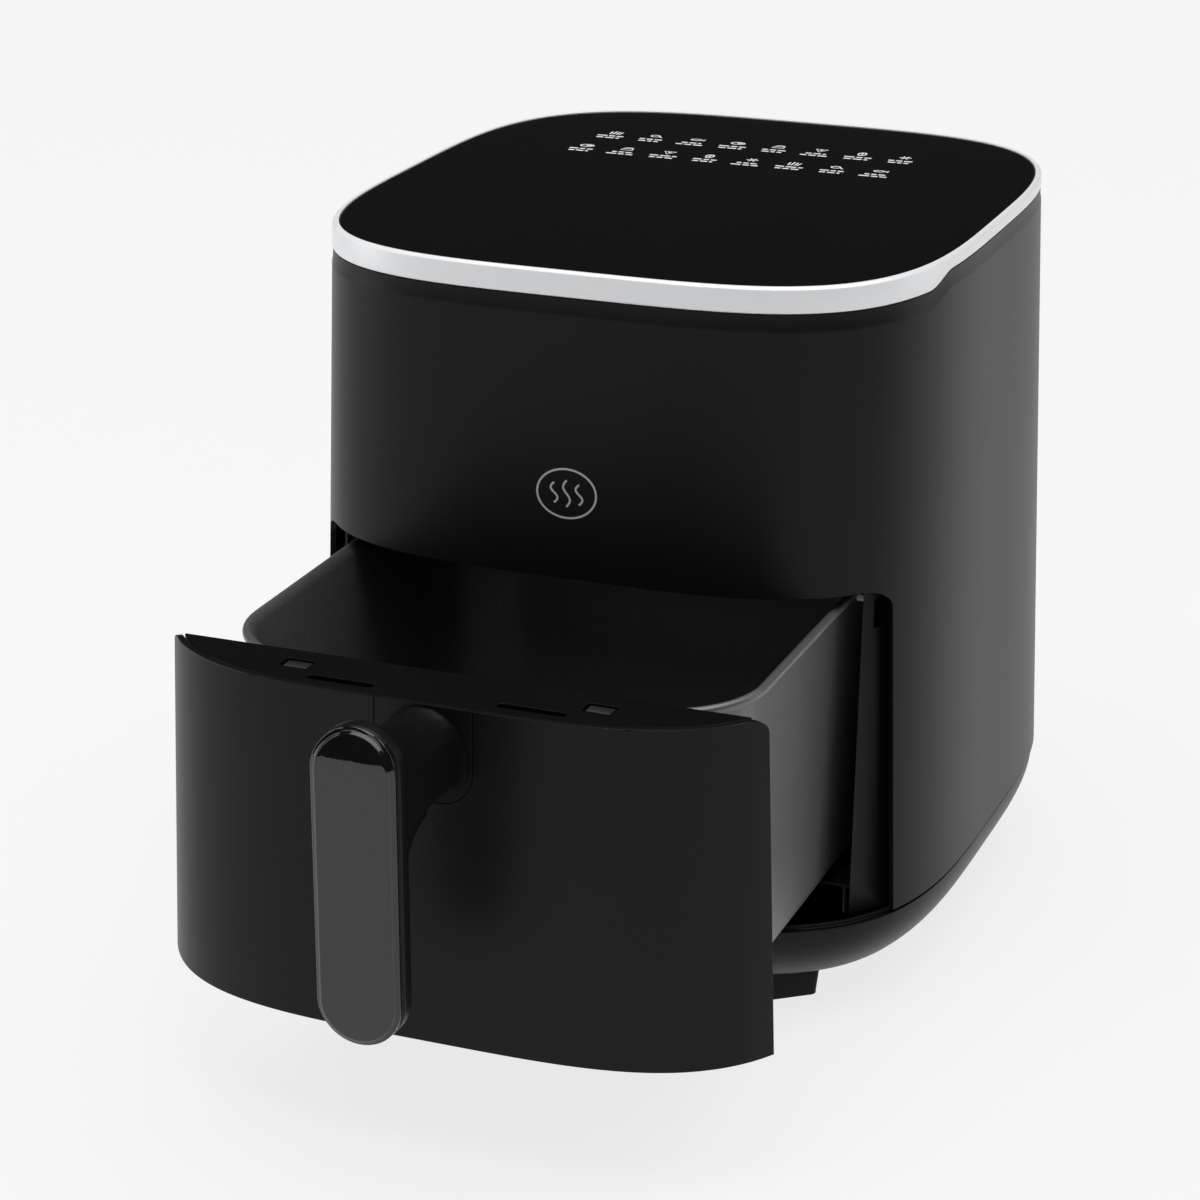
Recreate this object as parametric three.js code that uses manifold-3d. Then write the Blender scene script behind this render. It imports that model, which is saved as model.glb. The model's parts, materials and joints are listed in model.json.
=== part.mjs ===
// An air fryer: a squircle housing on a bowl-shaped plinth, with a drawer that slides out of its front.
// Millimetres, +Z up, +X to the right of someone facing the front, front towards -Y.
// The floor is z = 0. Pieces are drawn about the housing's own centre line with the drawer closed, then the
// drawer is drawn out and the whole is shifted so that its box is centred on the origin.
import * as THREE from "three";
import { mergeVertices } from "three/addons/utils/BufferGeometryUtils.js";
import Module from "manifold-3d";

const wasm = await Module();
wasm.setup();

// ---- Driving dimensions -------------------------------------------------------------------------
const HEIGHT = 318; // floor to the top of the trim ring
const TOP_HALF_WIDTH = 135; // of the housing at its top
const TOP_HALF_DEPTH = 147.5;
const DRAFT = 0.03; // the housing widens by this much per mm downwards, on each side
const SQUIRCLE = 3.7; // exponent of the housing's plan: 2 is an ellipse, more is squarer
const WALL = 2.6; // moulded outer walls
const SHEET = 1.2; // pressed sheet metal
const GAP = 0.3; // between pieces that touch
const DRAWER_OUT = 140; // how far the drawer stands open

const SHELL_BOTTOM = 48;
const PLINTH_BOTTOM = 18;
const FOOT_X = 82;
const FOOT_Y = 106;

const RING_FRONT_HEIGHT = 10.5; // of the trim ring's outer face along the front
const RING_REAR_HEIGHT = 5.5; // and behind its step
const RING_STEP_Y = [-86, -66]; // where the step starts and ends on each side

const MOUTH_TOP = 191; // top edge of the drawer's mouth in the housing
const MOUTH_HALF_WIDTH = 130.5; // at its foot
const MOUTH_SLOPE = 0.035; // the mouth narrows by this much per mm upwards, on each side
const MOUTH_CORNER = 9;
const JAMB_HALF_WIDTH = 115; // inside of the frame round the mouth
const SKIN_HALF_WIDTH = 129; // of the frame's curved face
const LINER_FRONT = -104;
const LINER_REAR = 121.5;
const LINER_HALF_WIDTH = 117.5;
const LINER_CORNER = 36;
const LINER_BOTTOM = 51;
const LINER_TOP = 192.4;
const HEATER_HOLE = 98; // radius of the hole in the chamber's ceiling

const PAN_FRONT = -113;
const PAN_REAR = 112;
const PAN_HALF_WIDTH = 105; // outside, under the rim
const PAN_DRAFT = 0.015;
const PAN_BOTTOM = 56;
const PAN_RIM = 185;
const PAN_CORNER = 38;
const PAN_WALL = 1.5;
const RIM_WIDTH = 4;
const PLATE_Z = 72; // underside of the crisper plate
const PLATE_CLEAR = 4.2; // from the pan's wall to the plate's edge

const HANDLE_HALF_WIDTH = 17;
const GRIP_BOTTOM = 78;
const GRIP_TOP = 203;
const GRIP_BACK = -200;
const GRIP_FRONT = -209;
const CAP_FRONT = -213.5;
const MOUNT_HALF_WIDTH = 20;
const MOUNT_BOTTOM = 151;
const PANEL_TOP = MOUTH_TOP - 1.6;
const PANEL_BOTTOM = SHELL_BOTTOM + 4;
const PANEL_SIDE_GAP = 2.8; // between the mouth and the drawer's front
const COVER_HALF_WIDTH = 119;
const COVER_REAR = -117.4; // back edge of the drawer's top cover
const COVER_BOTTOM = 186.8;

const GLAND_Z = 66;
const GLAND_REAR = 162;

// ---- Materials ----------------------------------------------------------------------------------
const material = (color, roughness, metalness) =>
  new THREE.MeshStandardMaterial({ color, roughness, metalness });
const matteBlack = material(0x1b1b1c, 0.55, 0);
const frameBlack = material(0x111112, 0.5, 0);
const pianoBlack = material(0x050505, 0.06, 0);
const satinSilver = material(0xc4c6c9, 0.32, 0.6);
const panelGlass = material(0x060607, 0.05, 0);
const nonStick = material(0x2b2b2d, 0.42, 0.3);
const zincSheet = material(0xa8abae, 0.4, 0.9);
const darkSteel = material(0x6b6966, 0.45, 0.9);
const rubberBlack = material(0x161616, 0.8, 0);
const boardGreen = material(0x1f5a3a, 0.5, 0);
const heatResin = material(0xe8e2d2, 0.6, 0);
const brightSteel = material(0xb9bbbd, 0.25, 1);

// ---- Solids: closed meshes, joined and cut ------------------------------------------------------
function toSolid(geometry) {
  const bare = geometry.index ? geometry.toNonIndexed() : geometry.clone();
  for (const name of ["normal", "uv"]) bare.deleteAttribute(name);
  const merged = mergeVertices(bare, 1e-4);
  const triVerts = new Uint32Array(merged.index.array);
  const vertProperties = merged.attributes.position.array;
  const made = new wasm.Manifold(new wasm.Mesh({ numProp: 3, vertProperties, triVerts }));
  if (made.volume() > 0) return made;
  for (let i = 0; i < triVerts.length; i += 3) {
    [triVerts[i + 1], triVerts[i + 2]] = [triVerts[i + 2], triVerts[i + 1]];
  }
  return new wasm.Manifold(new wasm.Mesh({ numProp: 3, vertProperties, triVerts }));
}

function toGeometry(solid) {
  const { numProp, numVert, vertProperties, triVerts } = solid.getMesh();
  const positions = new Float32Array(numVert * 3);
  for (let i = 0; i < numVert; i++) {
    positions.set(vertProperties.subarray(i * numProp, i * numProp + 3), i * 3);
  }
  const geometry = new THREE.BufferGeometry();
  geometry.setAttribute("position", new THREE.BufferAttribute(positions, 3));
  geometry.setIndex(new THREE.BufferAttribute(new Uint32Array(triVerts), 1));
  return geometry.toNonIndexed();
}

const cut = (from, ...tools) => tools.reduce((left, tool) => left.subtract(tool), from);
const join = (first, ...rest) => rest.reduce((sum, next) => sum.add(next), first);

function box(x, y, z) {
  const geometry = new THREE.BoxGeometry(x[1] - x[0], y[1] - y[0], z[1] - z[0]);
  geometry.translate((x[0] + x[1]) / 2, (y[0] + y[1]) / 2, (z[0] + z[1]) / 2);
  return toSolid(geometry);
}

// A cylinder along the axis "x", "y" or "z", from one place on it to another, at the other two places.
function cylinder(axis, radius, span, [u, v], sides = 24) {
  const geometry = new THREE.CylinderGeometry(radius, radius, span[1] - span[0], sides);
  const middle = (span[0] + span[1]) / 2;
  if (axis === "z") geometry.rotateX(Math.PI / 2).translate(u, v, middle);
  if (axis === "y") geometry.translate(u, middle, v);
  if (axis === "x") geometry.rotateZ(Math.PI / 2).translate(middle, u, v);
  return toSolid(geometry);
}

// A ring or dome: a closed profile of [radius, z] points turned about the z axis.
function turned(profile, sides = 48) {
  const points = [...profile, profile[0]].map(([r, z]) => new THREE.Vector2(r, z));
  return toSolid(new THREE.LatheGeometry(points, sides).rotateX(Math.PI / 2));
}

// A flat outline of [u, v] points pushed along z, or along y or x with the outline in the other two axes.
function pushed(outline, span, along = "z") {
  const shape = new THREE.Shape(outline.map(([u, v]) => new THREE.Vector2(u, v)));
  const depth = span[1] - span[0];
  const geometry = new THREE.ExtrudeGeometry(shape, { depth, bevelEnabled: false });
  if (along === "z") geometry.translate(0, 0, span[0]);
  if (along === "y") geometry.rotateX(Math.PI / 2).translate(0, span[1], 0);
  if (along === "x") geometry.rotateY(Math.PI / 2).rotateX(Math.PI / 2).translate(span[0], 0, 0);
  return toSolid(geometry);
}

// A skin through closed rings of points, one above the other, with flat ends.
function lofted(rings) {
  const count = rings[0].length;
  const corners = rings.flat().map(([x, y, z]) => new THREE.Vector3(x, y, z));
  const triangles = [];
  const add = (...indices) => triangles.push(...indices.map((i) => corners[i]));
  for (let level = 0; level + 1 < rings.length; level++) {
    for (let i = 0; i < count; i++) {
      const [a, b] = [level * count + i, level * count + ((i + 1) % count)];
      add(a, b, b + count);
      add(a, b + count, a + count);
    }
  }
  for (const start of [0, (rings.length - 1) * count]) {
    for (let i = 1; i + 1 < count; i++) {
      if (start) add(start, start + i, start + i + 1);
      else add(start, start + i + 1, start + i);
    }
  }
  return toSolid(new THREE.BufferGeometry().setFromPoints(triangles));
}

// A round bar along a smooth path through the points.
function bar(points, radius, steps) {
  const path = new THREE.CatmullRomCurve3(points.map((p) => new THREE.Vector3(...p)));
  const section = new THREE.Shape();
  section.absarc(0, 0, radius, 0, 2 * Math.PI);
  const settings = { steps, extrudePath: path, curveSegments: 4 };
  return toSolid(new THREE.ExtrudeGeometry(section, settings));
}

// ---- Outlines -----------------------------------------------------------------------------------
// The housing's plan at a height, drawn in by an inset all round.
function housingRing(z, inset, sides = 72) {
  const a = TOP_HALF_WIDTH + DRAFT * (HEIGHT - z) - inset;
  const b = TOP_HALF_DEPTH + DRAFT * (HEIGHT - z) - inset;
  return Array.from({ length: sides }, (_, i) => {
    const angle = (2 * Math.PI * (i + 0.5)) / sides;
    const [c, s] = [Math.cos(angle), Math.sin(angle)];
    const radius = (Math.abs(c / a) ** SQUIRCLE + Math.abs(s / b) ** SQUIRCLE) ** (-1 / SQUIRCLE);
    return [radius * c, radius * s, z];
  });
}

const housingBlock = (levels, sides) => lofted(levels.map(([z, inset]) => housingRing(z, inset, sides)));

// A rectangle from x0,y0 to x1,y1 with a rounded corner at each of its four corners, in the order
// lower left, lower right, upper right, upper left. A corner of radius 0 is sharp.
function roundedRectangle([x0, y0], [x1, y1], radii, steps = 6) {
  const corners = [
    [x0, y0, 1, 1, Math.PI],
    [x1, y0, -1, 1, 1.5 * Math.PI],
    [x1, y1, -1, -1, 0],
    [x0, y1, 1, -1, 0.5 * Math.PI],
  ];
  return corners.flatMap(([x, y, inX, inY, from], i) => {
    const r = radii[i];
    if (!r) return [[x, y]];
    const centre = [x + inX * r, y + inY * r];
    return Array.from({ length: steps + 1 }, (_, k) => {
      const angle = from + (Math.PI / 2) * (k / steps);
      return [centre[0] + r * Math.cos(angle), centre[1] + r * Math.sin(angle)];
    });
  });
}

const at = (outline, z) => outline.map(([x, y]) => [x, y, z]);

// Everything above the trim ring's lower edge, which steps up on each side.
function aboveRingEdge(lift) {
  const low = HEIGHT - RING_FRONT_HEIGHT + lift;
  const high = HEIGHT - RING_REAR_HEIGHT + lift;
  const [start, end] = RING_STEP_Y;
  const step = Array.from({ length: 7 }, (_, k) => {
    const t = k / 6;
    return [start + (end - start) * t, low + (high - low) * t * t * (3 - 2 * t)];
  });
  const far = 250;
  return pushed([[-far, low], ...step, [far, high], [far, HEIGHT + 40], [-far, HEIGHT + 40]], [-far, far], "x");
}

// The drawer's mouth: a sloping-sided opening with rounded top corners, drawn in by an inset.
function mouthBlock(inset, top, corner) {
  const bottom = SHELL_BOTTOM - 8;
  const halfAt = (z) => MOUTH_HALF_WIDTH - inset - MOUTH_SLOPE * (z - SHELL_BOTTOM);
  const half = halfAt(top);
  const arch = roundedRectangle([-half, bottom], [half, top], [0, 0, corner, corner], 5);
  arch[0][0] = -halfAt(bottom);
  arch[1][0] = halfAt(bottom);
  return pushed(arch, [-200, -60], "y");
}

// The U that the handle's mounting plate fills in the drawer's front.
function mountBlock(inset) {
  const half = MOUNT_HALF_WIDTH - inset;
  const corner = 13 - inset;
  const outline = roundedRectangle([-half, MOUNT_BOTTOM + inset], [half, 230], [corner, corner, 0, 0], 5);
  return pushed(outline, [-190, -100], "y");
}

// ---- Housing ------------------------------------------------------------------------------------
function bodyShell() {
  const top = HEIGHT - RING_REAR_HEIGHT;
  const outside = housingBlock([[SHELL_BOTTOM, 0], [top + 2, 0]]);
  const inside = housingBlock([[SHELL_BOTTOM - 1, WALL], [top + 4, WALL]]);
  const grilleHole = box([-62.3, 62.3], [60, 200], [179.7, 262.3]);
  const glandHole = cylinder("y", 7.5, [120, 200], [0, GLAND_Z]);
  return cut(outside, inside, aboveRingEdge(-GAP), mouthBlock(0, MOUTH_TOP, MOUTH_CORNER), grilleHole, glandHole);
}

function trimRing() {
  const outside = housingBlock([[HEIGHT - 12, 0], [HEIGHT - 1.2, 0], [HEIGHT, 1.2]]);
  const inside = housingBlock([[HEIGHT - 13, 2.4], [HEIGHT + 1, 2.4]]);
  return cut(outside, inside).intersect(aboveRingEdge(0));
}

const controlGlass = () => housingBlock([[HEIGHT - 3, 2.75], [HEIGHT - 0.4, 2.75]]);

function topFrame() {
  const outside = housingBlock([[300, 3.1], [HEIGHT - 3.4, 3.1]], 48);
  const inside = housingBlock([[299, 5.6], [HEIGHT - 6.4, 5.6]], 48);
  const window = box([-107.5, 107.5], [17.5, 112.5], [300, HEIGHT]);
  return cut(outside, inside, window);
}

function touchBoard() {
  const board = box([-107, 107], [18, 112], [HEIGHT - 4.9, HEIGHT - 3.3]);
  const connector = box([40, 62], [30, 38], [HEIGHT - 9, HEIGHT - 4.8]);
  return join(board, connector);
}

function powerBoard() {
  const board = box([20, 105], [10, 99], [291, 292.6]);
  const transformer = box([28, 52], [20, 46], [292, 304]);
  const relay = box([62, 82], [22, 38], [292, 303]);
  const capacitor = cylinder("z", 7, [292, 306], [36, 68], 16);
  const terminals = box([58, 92], [88, 98], [292, 300]);
  return join(board, transformer, relay, capacitor, terminals);
}

function plinth() {
  const outside = housingBlock(
    [[PLINTH_BOTTOM, 19], [20, 14.5], [25, 7.8], [34, 3.0], [SHELL_BOTTOM - GAP, 1.2]],
    48,
  );
  const inside = housingBlock([[PLINTH_BOTTOM + 3, 22], [31, 9], [SHELL_BOTTOM + 2, 4.4]], 48);
  const bosses = screwPlaces().map(([x, y]) => cylinder("z", 6, [PLINTH_BOTTOM + 1, 50.6], [x, y], 12));
  const heads = screwPlaces().map(([x, y]) => cylinder("z", 4.3, [0, PLINTH_BOTTOM + 2.6], [x, y], 12));
  const holes = screwPlaces().map(([x, y]) => cylinder("z", 2.1, [0, 44], [x, y], 12));
  return cut(join(cut(outside, inside), ...bosses), ...heads, ...holes);
}

const screwPlaces = () => [-1, 1].flatMap((side) => [[side * 96, -66], [side * 96, 84]]);

function plinthScrew([x, y]) {
  const head = cylinder("z", 3.9, [PLINTH_BOTTOM + 0.2, PLINTH_BOTTOM + 2.3], [x, y], 12);
  const slot = box([x - 3, x + 3], [y - 0.5, y + 0.5], [PLINTH_BOTTOM, PLINTH_BOTTOM + 1]);
  const shank = cylinder("z", 1.8, [PLINTH_BOTTOM + 2, 42], [x, y], 12);
  return cut(join(head, shank), slot);
}

// A foot's block is turned half way between the front and the side, so that a flat faces the corner.
function foot([x, y]) {
  const bottom = roundedRectangle([-11.5, -9.5], [11.5, 9.5], [2.5, 2.5, 2.5, 2.5], 3);
  const top = roundedRectangle([-13, -11], [13, 11], [2.5, 2.5, 2.5, 2.5], 3);
  const block = lofted([at(bottom, 0), at(bottom, 2), at(top, PLINTH_BOTTOM - GAP)]);
  const groove = box([-20, 20], [6.4, 7.8], [3, PLINTH_BOTTOM]);
  const turn = (Math.atan2(y, x) * 180) / Math.PI - 90;
  return cut(block, groove).rotate([0, 0, turn]).translate([x, y, 0]);
}

function mouthFrame() {
  const skin = cut(
    housingBlock([[SHELL_BOTTOM + 0.5, 5], [200, 5]]),
    housingBlock([[SHELL_BOTTOM, 7.5], [201, 7.5]]),
  ).intersect(box([-SKIN_HALF_WIDTH, SKIN_HALF_WIDTH], [-160, -95], [0, 200]));
  const hole = box([-JAMB_HALF_WIDTH, JAMB_HALF_WIDTH], [-200, 0], [0, MOUTH_TOP - 0.6]);
  const within = housingBlock([[SHELL_BOTTOM, 6], [201, 6]]);
  const rear = LINER_FRONT - GAP;
  const jamb = (side) => {
    const x = [JAMB_HALF_WIDTH, JAMB_HALF_WIDTH + 2].map((v) => v * side).sort((p, q) => p - q);
    return box(x, [-160, rear], [SHELL_BOTTOM + 0.5, 192]);
  };
  const head = box([-JAMB_HALF_WIDTH - 1, JAMB_HALF_WIDTH + 1], [-160, rear], [MOUTH_TOP - 0.6, 192.2]);
  const latch = (side) => {
    const x = [JAMB_HALF_WIDTH + 3.4, JAMB_HALF_WIDTH + 7.2].map((v) => v * side).sort((p, q) => p - q);
    return box(x, [-160, -60], [172.5, 184.5]);
  };
  const plungerHole = cylinder("z", 2.5, [180, 196], [-88, -120], 12);
  const walls = join(jamb(-1), jamb(1), head).intersect(within);
  const coverRecess = box([-COVER_HALF_WIDTH - 0.6, COVER_HALF_WIDTH + 0.6], [-160, COVER_REAR + 0.6], [
    COVER_BOTTOM - 0.6,
    MOUTH_TOP - 0.6,
  ]);
  return cut(join(cut(skin, hole), walls), latch(-1), latch(1), plungerHole, coverRecess);
}

const linerOutline = (inset, front) =>
  roundedRectangle(
    [-LINER_HALF_WIDTH + inset, front],
    [LINER_HALF_WIDTH - inset, LINER_REAR - inset],
    [0, 0, LINER_CORNER - inset, LINER_CORNER - inset],
  );

function chamberLiner() {
  const outside = pushed(linerOutline(0, LINER_FRONT), [LINER_BOTTOM, LINER_TOP]);
  const inside = pushed(linerOutline(SHEET, LINER_FRONT - 5), [LINER_BOTTOM + SHEET, LINER_TOP - SHEET]);
  const heaterHole = cylinder("z", HEATER_HOLE, [LINER_TOP - 5, LINER_TOP + 5], [0, 0], 48);
  const probeHole = cylinder("y", 2.2, [110, 130], [70, 188.2], 12);
  return cut(outside, inside, heaterHole, probeHole);
}

function rail(side) {
  const x = [PAN_HALF_WIDTH + 1.5, 116].map((v) => v * side).sort((p, q) => p - q);
  const web = [112.5, 116].map((v) => v * side).sort((p, q) => p - q);
  return join(box(x, [-98, 84], [177.6, 180.6]), box(web, [-98, 84], [164, 180]));
}

function fanShroud() {
  const base = LINER_TOP + GAP;
  const outer = [[118, base], [118, base + SHEET], [105, base + SHEET], [105, 216], [99, 226], [90, 229.7]];
  const inner = [[89.6, 228.5], [98.2, 225.2], [103.8, 215.6], [103.8, base]];
  const dome = turned([...outer, [5, 229.7], [5, 228.5], ...inner], 36);
  return cut(dome, box([-24, 24], [80, 110], [199, 211]));
}

function heaterCoil() {
  const turns = 2.2;
  const spiral = Array.from({ length: 40 }, (_, k) => {
    const t = k / 39;
    const angle = 2 * Math.PI * turns * t + Math.PI / 2;
    const radius = 46 + 40 * t;
    return [radius * Math.cos(angle), radius * Math.sin(angle), 200];
  });
  return bar(spiral, 3.25, 72);
}

function heaterGuard() {
  const z = [189.4, 190.8];
  const hoop = (outer, inner) => turned([[outer, z[0]], [outer, z[1]], [inner, z[1]], [inner, z[0]]], 24);
  const bars = [0, 60, 120].map((turn) => box([-95, 95], [-1.2, 1.2], z).rotate([0, 0, turn]));
  const hub = cylinder("z", 9, z, [0, 0], 18);
  return join(hoop(96.5, 93.5), hoop(62, 59.6), hub, ...bars);
}

function exhaustDuct() {
  const reach = [106.4, 144.6];
  const outside = box([-26, 26], reach, [197, 213]);
  return cut(outside, box([-24.8, 24.8], [90, 160], [198.2, 211.8]));
}

function rearGrille() {
  const plate = cut(
    housingBlock([[180, -0.8], [262, -0.8]]),
    housingBlock([[179, WALL], [263, WALL]]),
  ).intersect(box([-62, 62], [60, 200], [180, 262]));
  const slots = Array.from({ length: 6 }, (_, k) => box([-54, 54], [60, 200], [188 + k * 12, 194 + k * 12]));
  const post = box([-1.5, 1.5], [60, 200], [181, 261]).intersect(plate);
  return join(cut(plate, ...slots), post);
}

function motorBracket() {
  const floor = LINER_TOP + 2 * GAP + SHEET;
  const half = [[0, 245], [110, 245], [110, floor + 2], [117, floor + 2], [117, floor], [108, floor], [108, 243], [0, 243]];
  const outline = [...half, ...half.slice(1, -1).reverse().map(([x, z]) => [-x, z])];
  const strap = pushed(outline, [-18, 18], "y");
  return cut(strap, cylinder("z", 5, [230, 250], [0, 0], 16));
}

function motorHousing() {
  const profile = [[3.4, 245.3], [29, 245.3], [31, 248], [31, 281], [28, 284], [0, 284], [0, 280], [3.4, 280]];
  return turned(profile, 32);
}

function heatShield() {
  const outline = roundedRectangle([-112, -100], [112, 104], [30, 30, 30, 30], 4);
  const sheet = pushed(outline, [286, 286 + SHEET]);
  const posts = [[24, 14], [101, 14], [24, 95], [101, 95]].map((p) => cylinder("z", 3, [286.5, 290.7], p, 10));
  return join(sheet, ...posts);
}

function temperatureProbe() {
  const rod = cylinder("y", 1.6, [106, 127], [70, 188.2], 10);
  const collar = cylinder("y", 4, [LINER_REAR + GAP, LINER_REAR + 3], [70, 188.2], 10);
  return join(rod, collar);
}

const thermalFuse = () => join(box([66, 84], [-4, 4], [230, 231.5]), cylinder("x", 2.6, [69, 81], [0, 233.6], 12));

function drawerSwitch() {
  const body = box([-99, -77], [-126, -114], [192.5, 206]);
  return cut(body, cylinder("z", 3, [180, 201], [-88, -120], 12));
}

function switchPlunger() {
  const stem = cylinder("z", 2.1, [189.5, 198], [-88, -120], 12);
  return join(stem, cylinder("z", 2.75, [192.8, 194.4], [-88, -120], 12));
}

const terminalBlock = () =>
  cut(box([-20, 20], [126, 138], [56, 70]), box([-16, -6], [120, 130], [60, 66]), box([6, 16], [120, 130], [60, 66]));

function innerLead() {
  const points = [
    [12, 132, 70.5],
    [12, 132, 80],
    [44, 136, 106],
    [76, 133, 142],
    [80, 130, 200],
    [76, 124, 262],
    [72, 114, 288],
    [72, 101.6, 296],
  ];
  return bar(points, 3, 26);
}

function cableGland() {
  const nut = cylinder("y", 10.5, [156, GLAND_REAR], [0, GLAND_Z], 12);
  const barrel = cylinder("y", 7.2, [146, 158], [0, GLAND_Z]);
  return cut(join(nut, barrel), cylinder("y", 3.7, [140, 170], [0, GLAND_Z]));
}

// ---- Fan rotor ----------------------------------------------------------------------------------
const motorShaft = () => cylinder("z", 3, [206, 279], [0, 0], 16);

function bladedWheel(count, [inner, outer], [low, high], hub, pitch) {
  const disc = turned([[hub, high - 1.2], [hub, high], [outer * 0.72, high], [outer * 0.72, high - 1.2]], 24);
  const boss = turned([[3.2, low], [hub + 4, low], [hub + 4, high], [3.2, high]], 16);
  const blades = Array.from({ length: count }, (_, k) =>
    box([inner, outer], [-0.8, 0.8], [low, high - 0.4])
      .rotate([pitch, 0, 0])
      .intersect(box([0, 200], [-60, 60], [low, high]))
      .rotate([0, 0, (360 * k) / count]),
  );
  return join(boss, disc, ...blades);
}

const atHeight = (solid, z) => solid.translate([0, 0, z]);
const convectionFan = () => atHeight(bladedWheel(10, [14, 80], [-7, 7], 8, 0), 214.5);
const coolingFan = () => atHeight(bladedWheel(9, [10, 52], [-3.5, 3.5], 8, 0), 236);

// ---- Drawer -------------------------------------------------------------------------------------
// The drawer's front is the piece of the housing's own curved wall that its mouth leaves out.
function frontSkin(bottom, top) {
  return cut(housingBlock([[bottom, 0], [top, 0]]), housingBlock([[bottom - 1, WALL], [top + 1, WALL]])).intersect(
    mouthBlock(PANEL_SIDE_GAP, PANEL_TOP, 6),
  );
}

const drawerFront = () => cut(frontSkin(PANEL_BOTTOM, PANEL_TOP), mountBlock(0));

function handleScrewHoles() {
  return handleScrewPlaces().map(([x, z]) => cylinder("y", 2.1, [-162, -130], [x, z], 12));
}

const handleScrewPlaces = () => [[-9, 171], [9, 171]];

const handleMount = () => cut(frontSkin(PANEL_BOTTOM, PANEL_TOP).intersect(mountBlock(GAP)), ...handleScrewHoles());

function innerPanel() {
  const wall = box([-104, 104], [-118.4, -116.4], [62, 181.6]);
  const tray = housingBlock([[62, 3.1], [64, 3.1]]).intersect(box([-107, 107], [-160, -116.4], [62, 64]));
  return join(wall, tray);
}

function topCover() {
  const z = [COVER_BOTTOM, PANEL_TOP - 0.5];
  const strip = box([-COVER_HALF_WIDTH, COVER_HALF_WIDTH], [-160, COVER_REAR], z);
  const sheet = housingBlock([[z[0], 3.1], [z[1], 3.1]]).intersect(strip);
  const slots = [-1, 1].map((side) => box([side * 39 - 13.8, side * 39 + 13.8], [-142.4, -138.4], [180, 200]));
  const notches = [-1, 1].map((side) => box([side * 62 - 6, side * 62 + 6], [-134, -126], [180, 200]));
  return cut(sheet, ...slots, ...notches);
}

function panClip(side) {
  const x = side * 62;
  const hook = box([x - 5, x + 5], [-132.6, -127], [168, 188.4]);
  const foot = box([x - 5, x + 5], [-132.6, -118.8], [168, 171]);
  return join(hook, foot);
}

function panOutline(z, inset) {
  const half = PAN_HALF_WIDTH - PAN_DRAFT * (PAN_RIM - z) - inset;
  const taper = PAN_DRAFT * (PAN_RIM - z) + inset;
  const corner = Math.max(PAN_CORNER - inset, 4);
  return at(
    roundedRectangle([-half, PAN_FRONT + taper], [half, PAN_REAR - taper], [corner, corner, corner, corner], 7),
    z,
  );
}

const panBlock = (levels) => lofted(levels.map(([z, inset]) => panOutline(z, inset)));

function pan() {
  const body = panBlock([[PAN_BOTTOM, 8], [PAN_BOTTOM + 2.4, 3], [PAN_BOTTOM + 8, 0], [PAN_RIM, 0]]);
  const rim = panBlock([[PAN_RIM - 3, -RIM_WIDTH + 0.6], [PAN_RIM - 1, -RIM_WIDTH], [PAN_RIM, -RIM_WIDTH + 1]]);
  const hollow = panBlock([
    [PAN_BOTTOM + PAN_WALL, 8 + PAN_WALL],
    [PAN_BOTTOM + 9, PAN_WALL],
    [PAN_RIM + 2, PAN_WALL],
  ]);
  return cut(join(body, rim), hollow);
}

function crisperPlate() {
  const sheet = panBlock([[PLATE_Z, PAN_WALL + PLATE_CLEAR], [PLATE_Z + 1.5, PAN_WALL + PLATE_CLEAR]]);
  const pitch = 36;
  const holes = [-2, -1, 1, 2].flatMap((i) =>
    [-2, -1, 0, 1, 2].map((j) => cylinder("z", 6, [60, 90], [i * pitch, j * pitch - 0.5], 8)),
  );
  return cut(sheet, ...holes, cylinder("z", 10, [60, 90], [0, -0.5], 16));
}

function plateBumper([sideX, sideY]) {
  const edge = PAN_HALF_WIDTH - PAN_DRAFT * (PAN_RIM - PLATE_Z) - PAN_WALL - PLATE_CLEAR;
  const x = [edge + 0.4, edge + 3.4].map((v) => v * sideX).sort((p, q) => p - q);
  return box(x, [sideY * 52 - 8, sideY * 52 + 8], [PLATE_Z - 4, PLATE_Z + 4]);
}

// The arm leaves the mounting plate, rises a little and turns down into an upright grip.
function handleBody() {
  const root = -145;
  const under = 158;
  const bend = 20;
  const fillet = Array.from({ length: 7 }, (_, k) => {
    const angle = (Math.PI / 2) * (k / 6);
    return [GRIP_BACK + bend - bend * Math.sin(angle), under - bend + bend * Math.cos(angle)];
  });
  const side = [
    [root, 187.6],
    [-170, 189.5],
    [-190, 195],
    [GRIP_BACK, GRIP_TOP],
    [GRIP_FRONT, GRIP_TOP],
    [GRIP_FRONT, GRIP_BOTTOM],
    [GRIP_BACK, GRIP_BOTTOM],
    ...fillet.reverse(),
    [root, under],
  ];
  const sideView = pushed(side, [-HANDLE_HALF_WIDTH, HANDLE_HALF_WIDTH], "x");
  const shaped = sideView.intersect(stadium(HANDLE_HALF_WIDTH, 0, [-240, -100]));
  return cut(shaped, housingBlock([[140, -GAP], [200, -GAP]]), ...handleScrewHoles());
}

// An upright slab with round ends, the grip's outline from the front, drawn in by an inset.
function stadium(halfWidth, inset, span) {
  const half = halfWidth - inset;
  const outline = roundedRectangle(
    [-half, GRIP_BOTTOM + inset],
    [half, GRIP_TOP - inset],
    [half - 0.01, half - 0.01, half - 0.01, half - 0.01],
    8,
  );
  return pushed(outline, span, "y");
}

function handleCap() {
  const step = 0.8;
  return join(
    stadium(HANDLE_HALF_WIDTH, step, [CAP_FRONT + 1.2, GRIP_FRONT - GAP]),
    stadium(HANDLE_HALF_WIDTH, step + 1.2, [CAP_FRONT, CAP_FRONT + 1.3]),
  );
}

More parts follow.
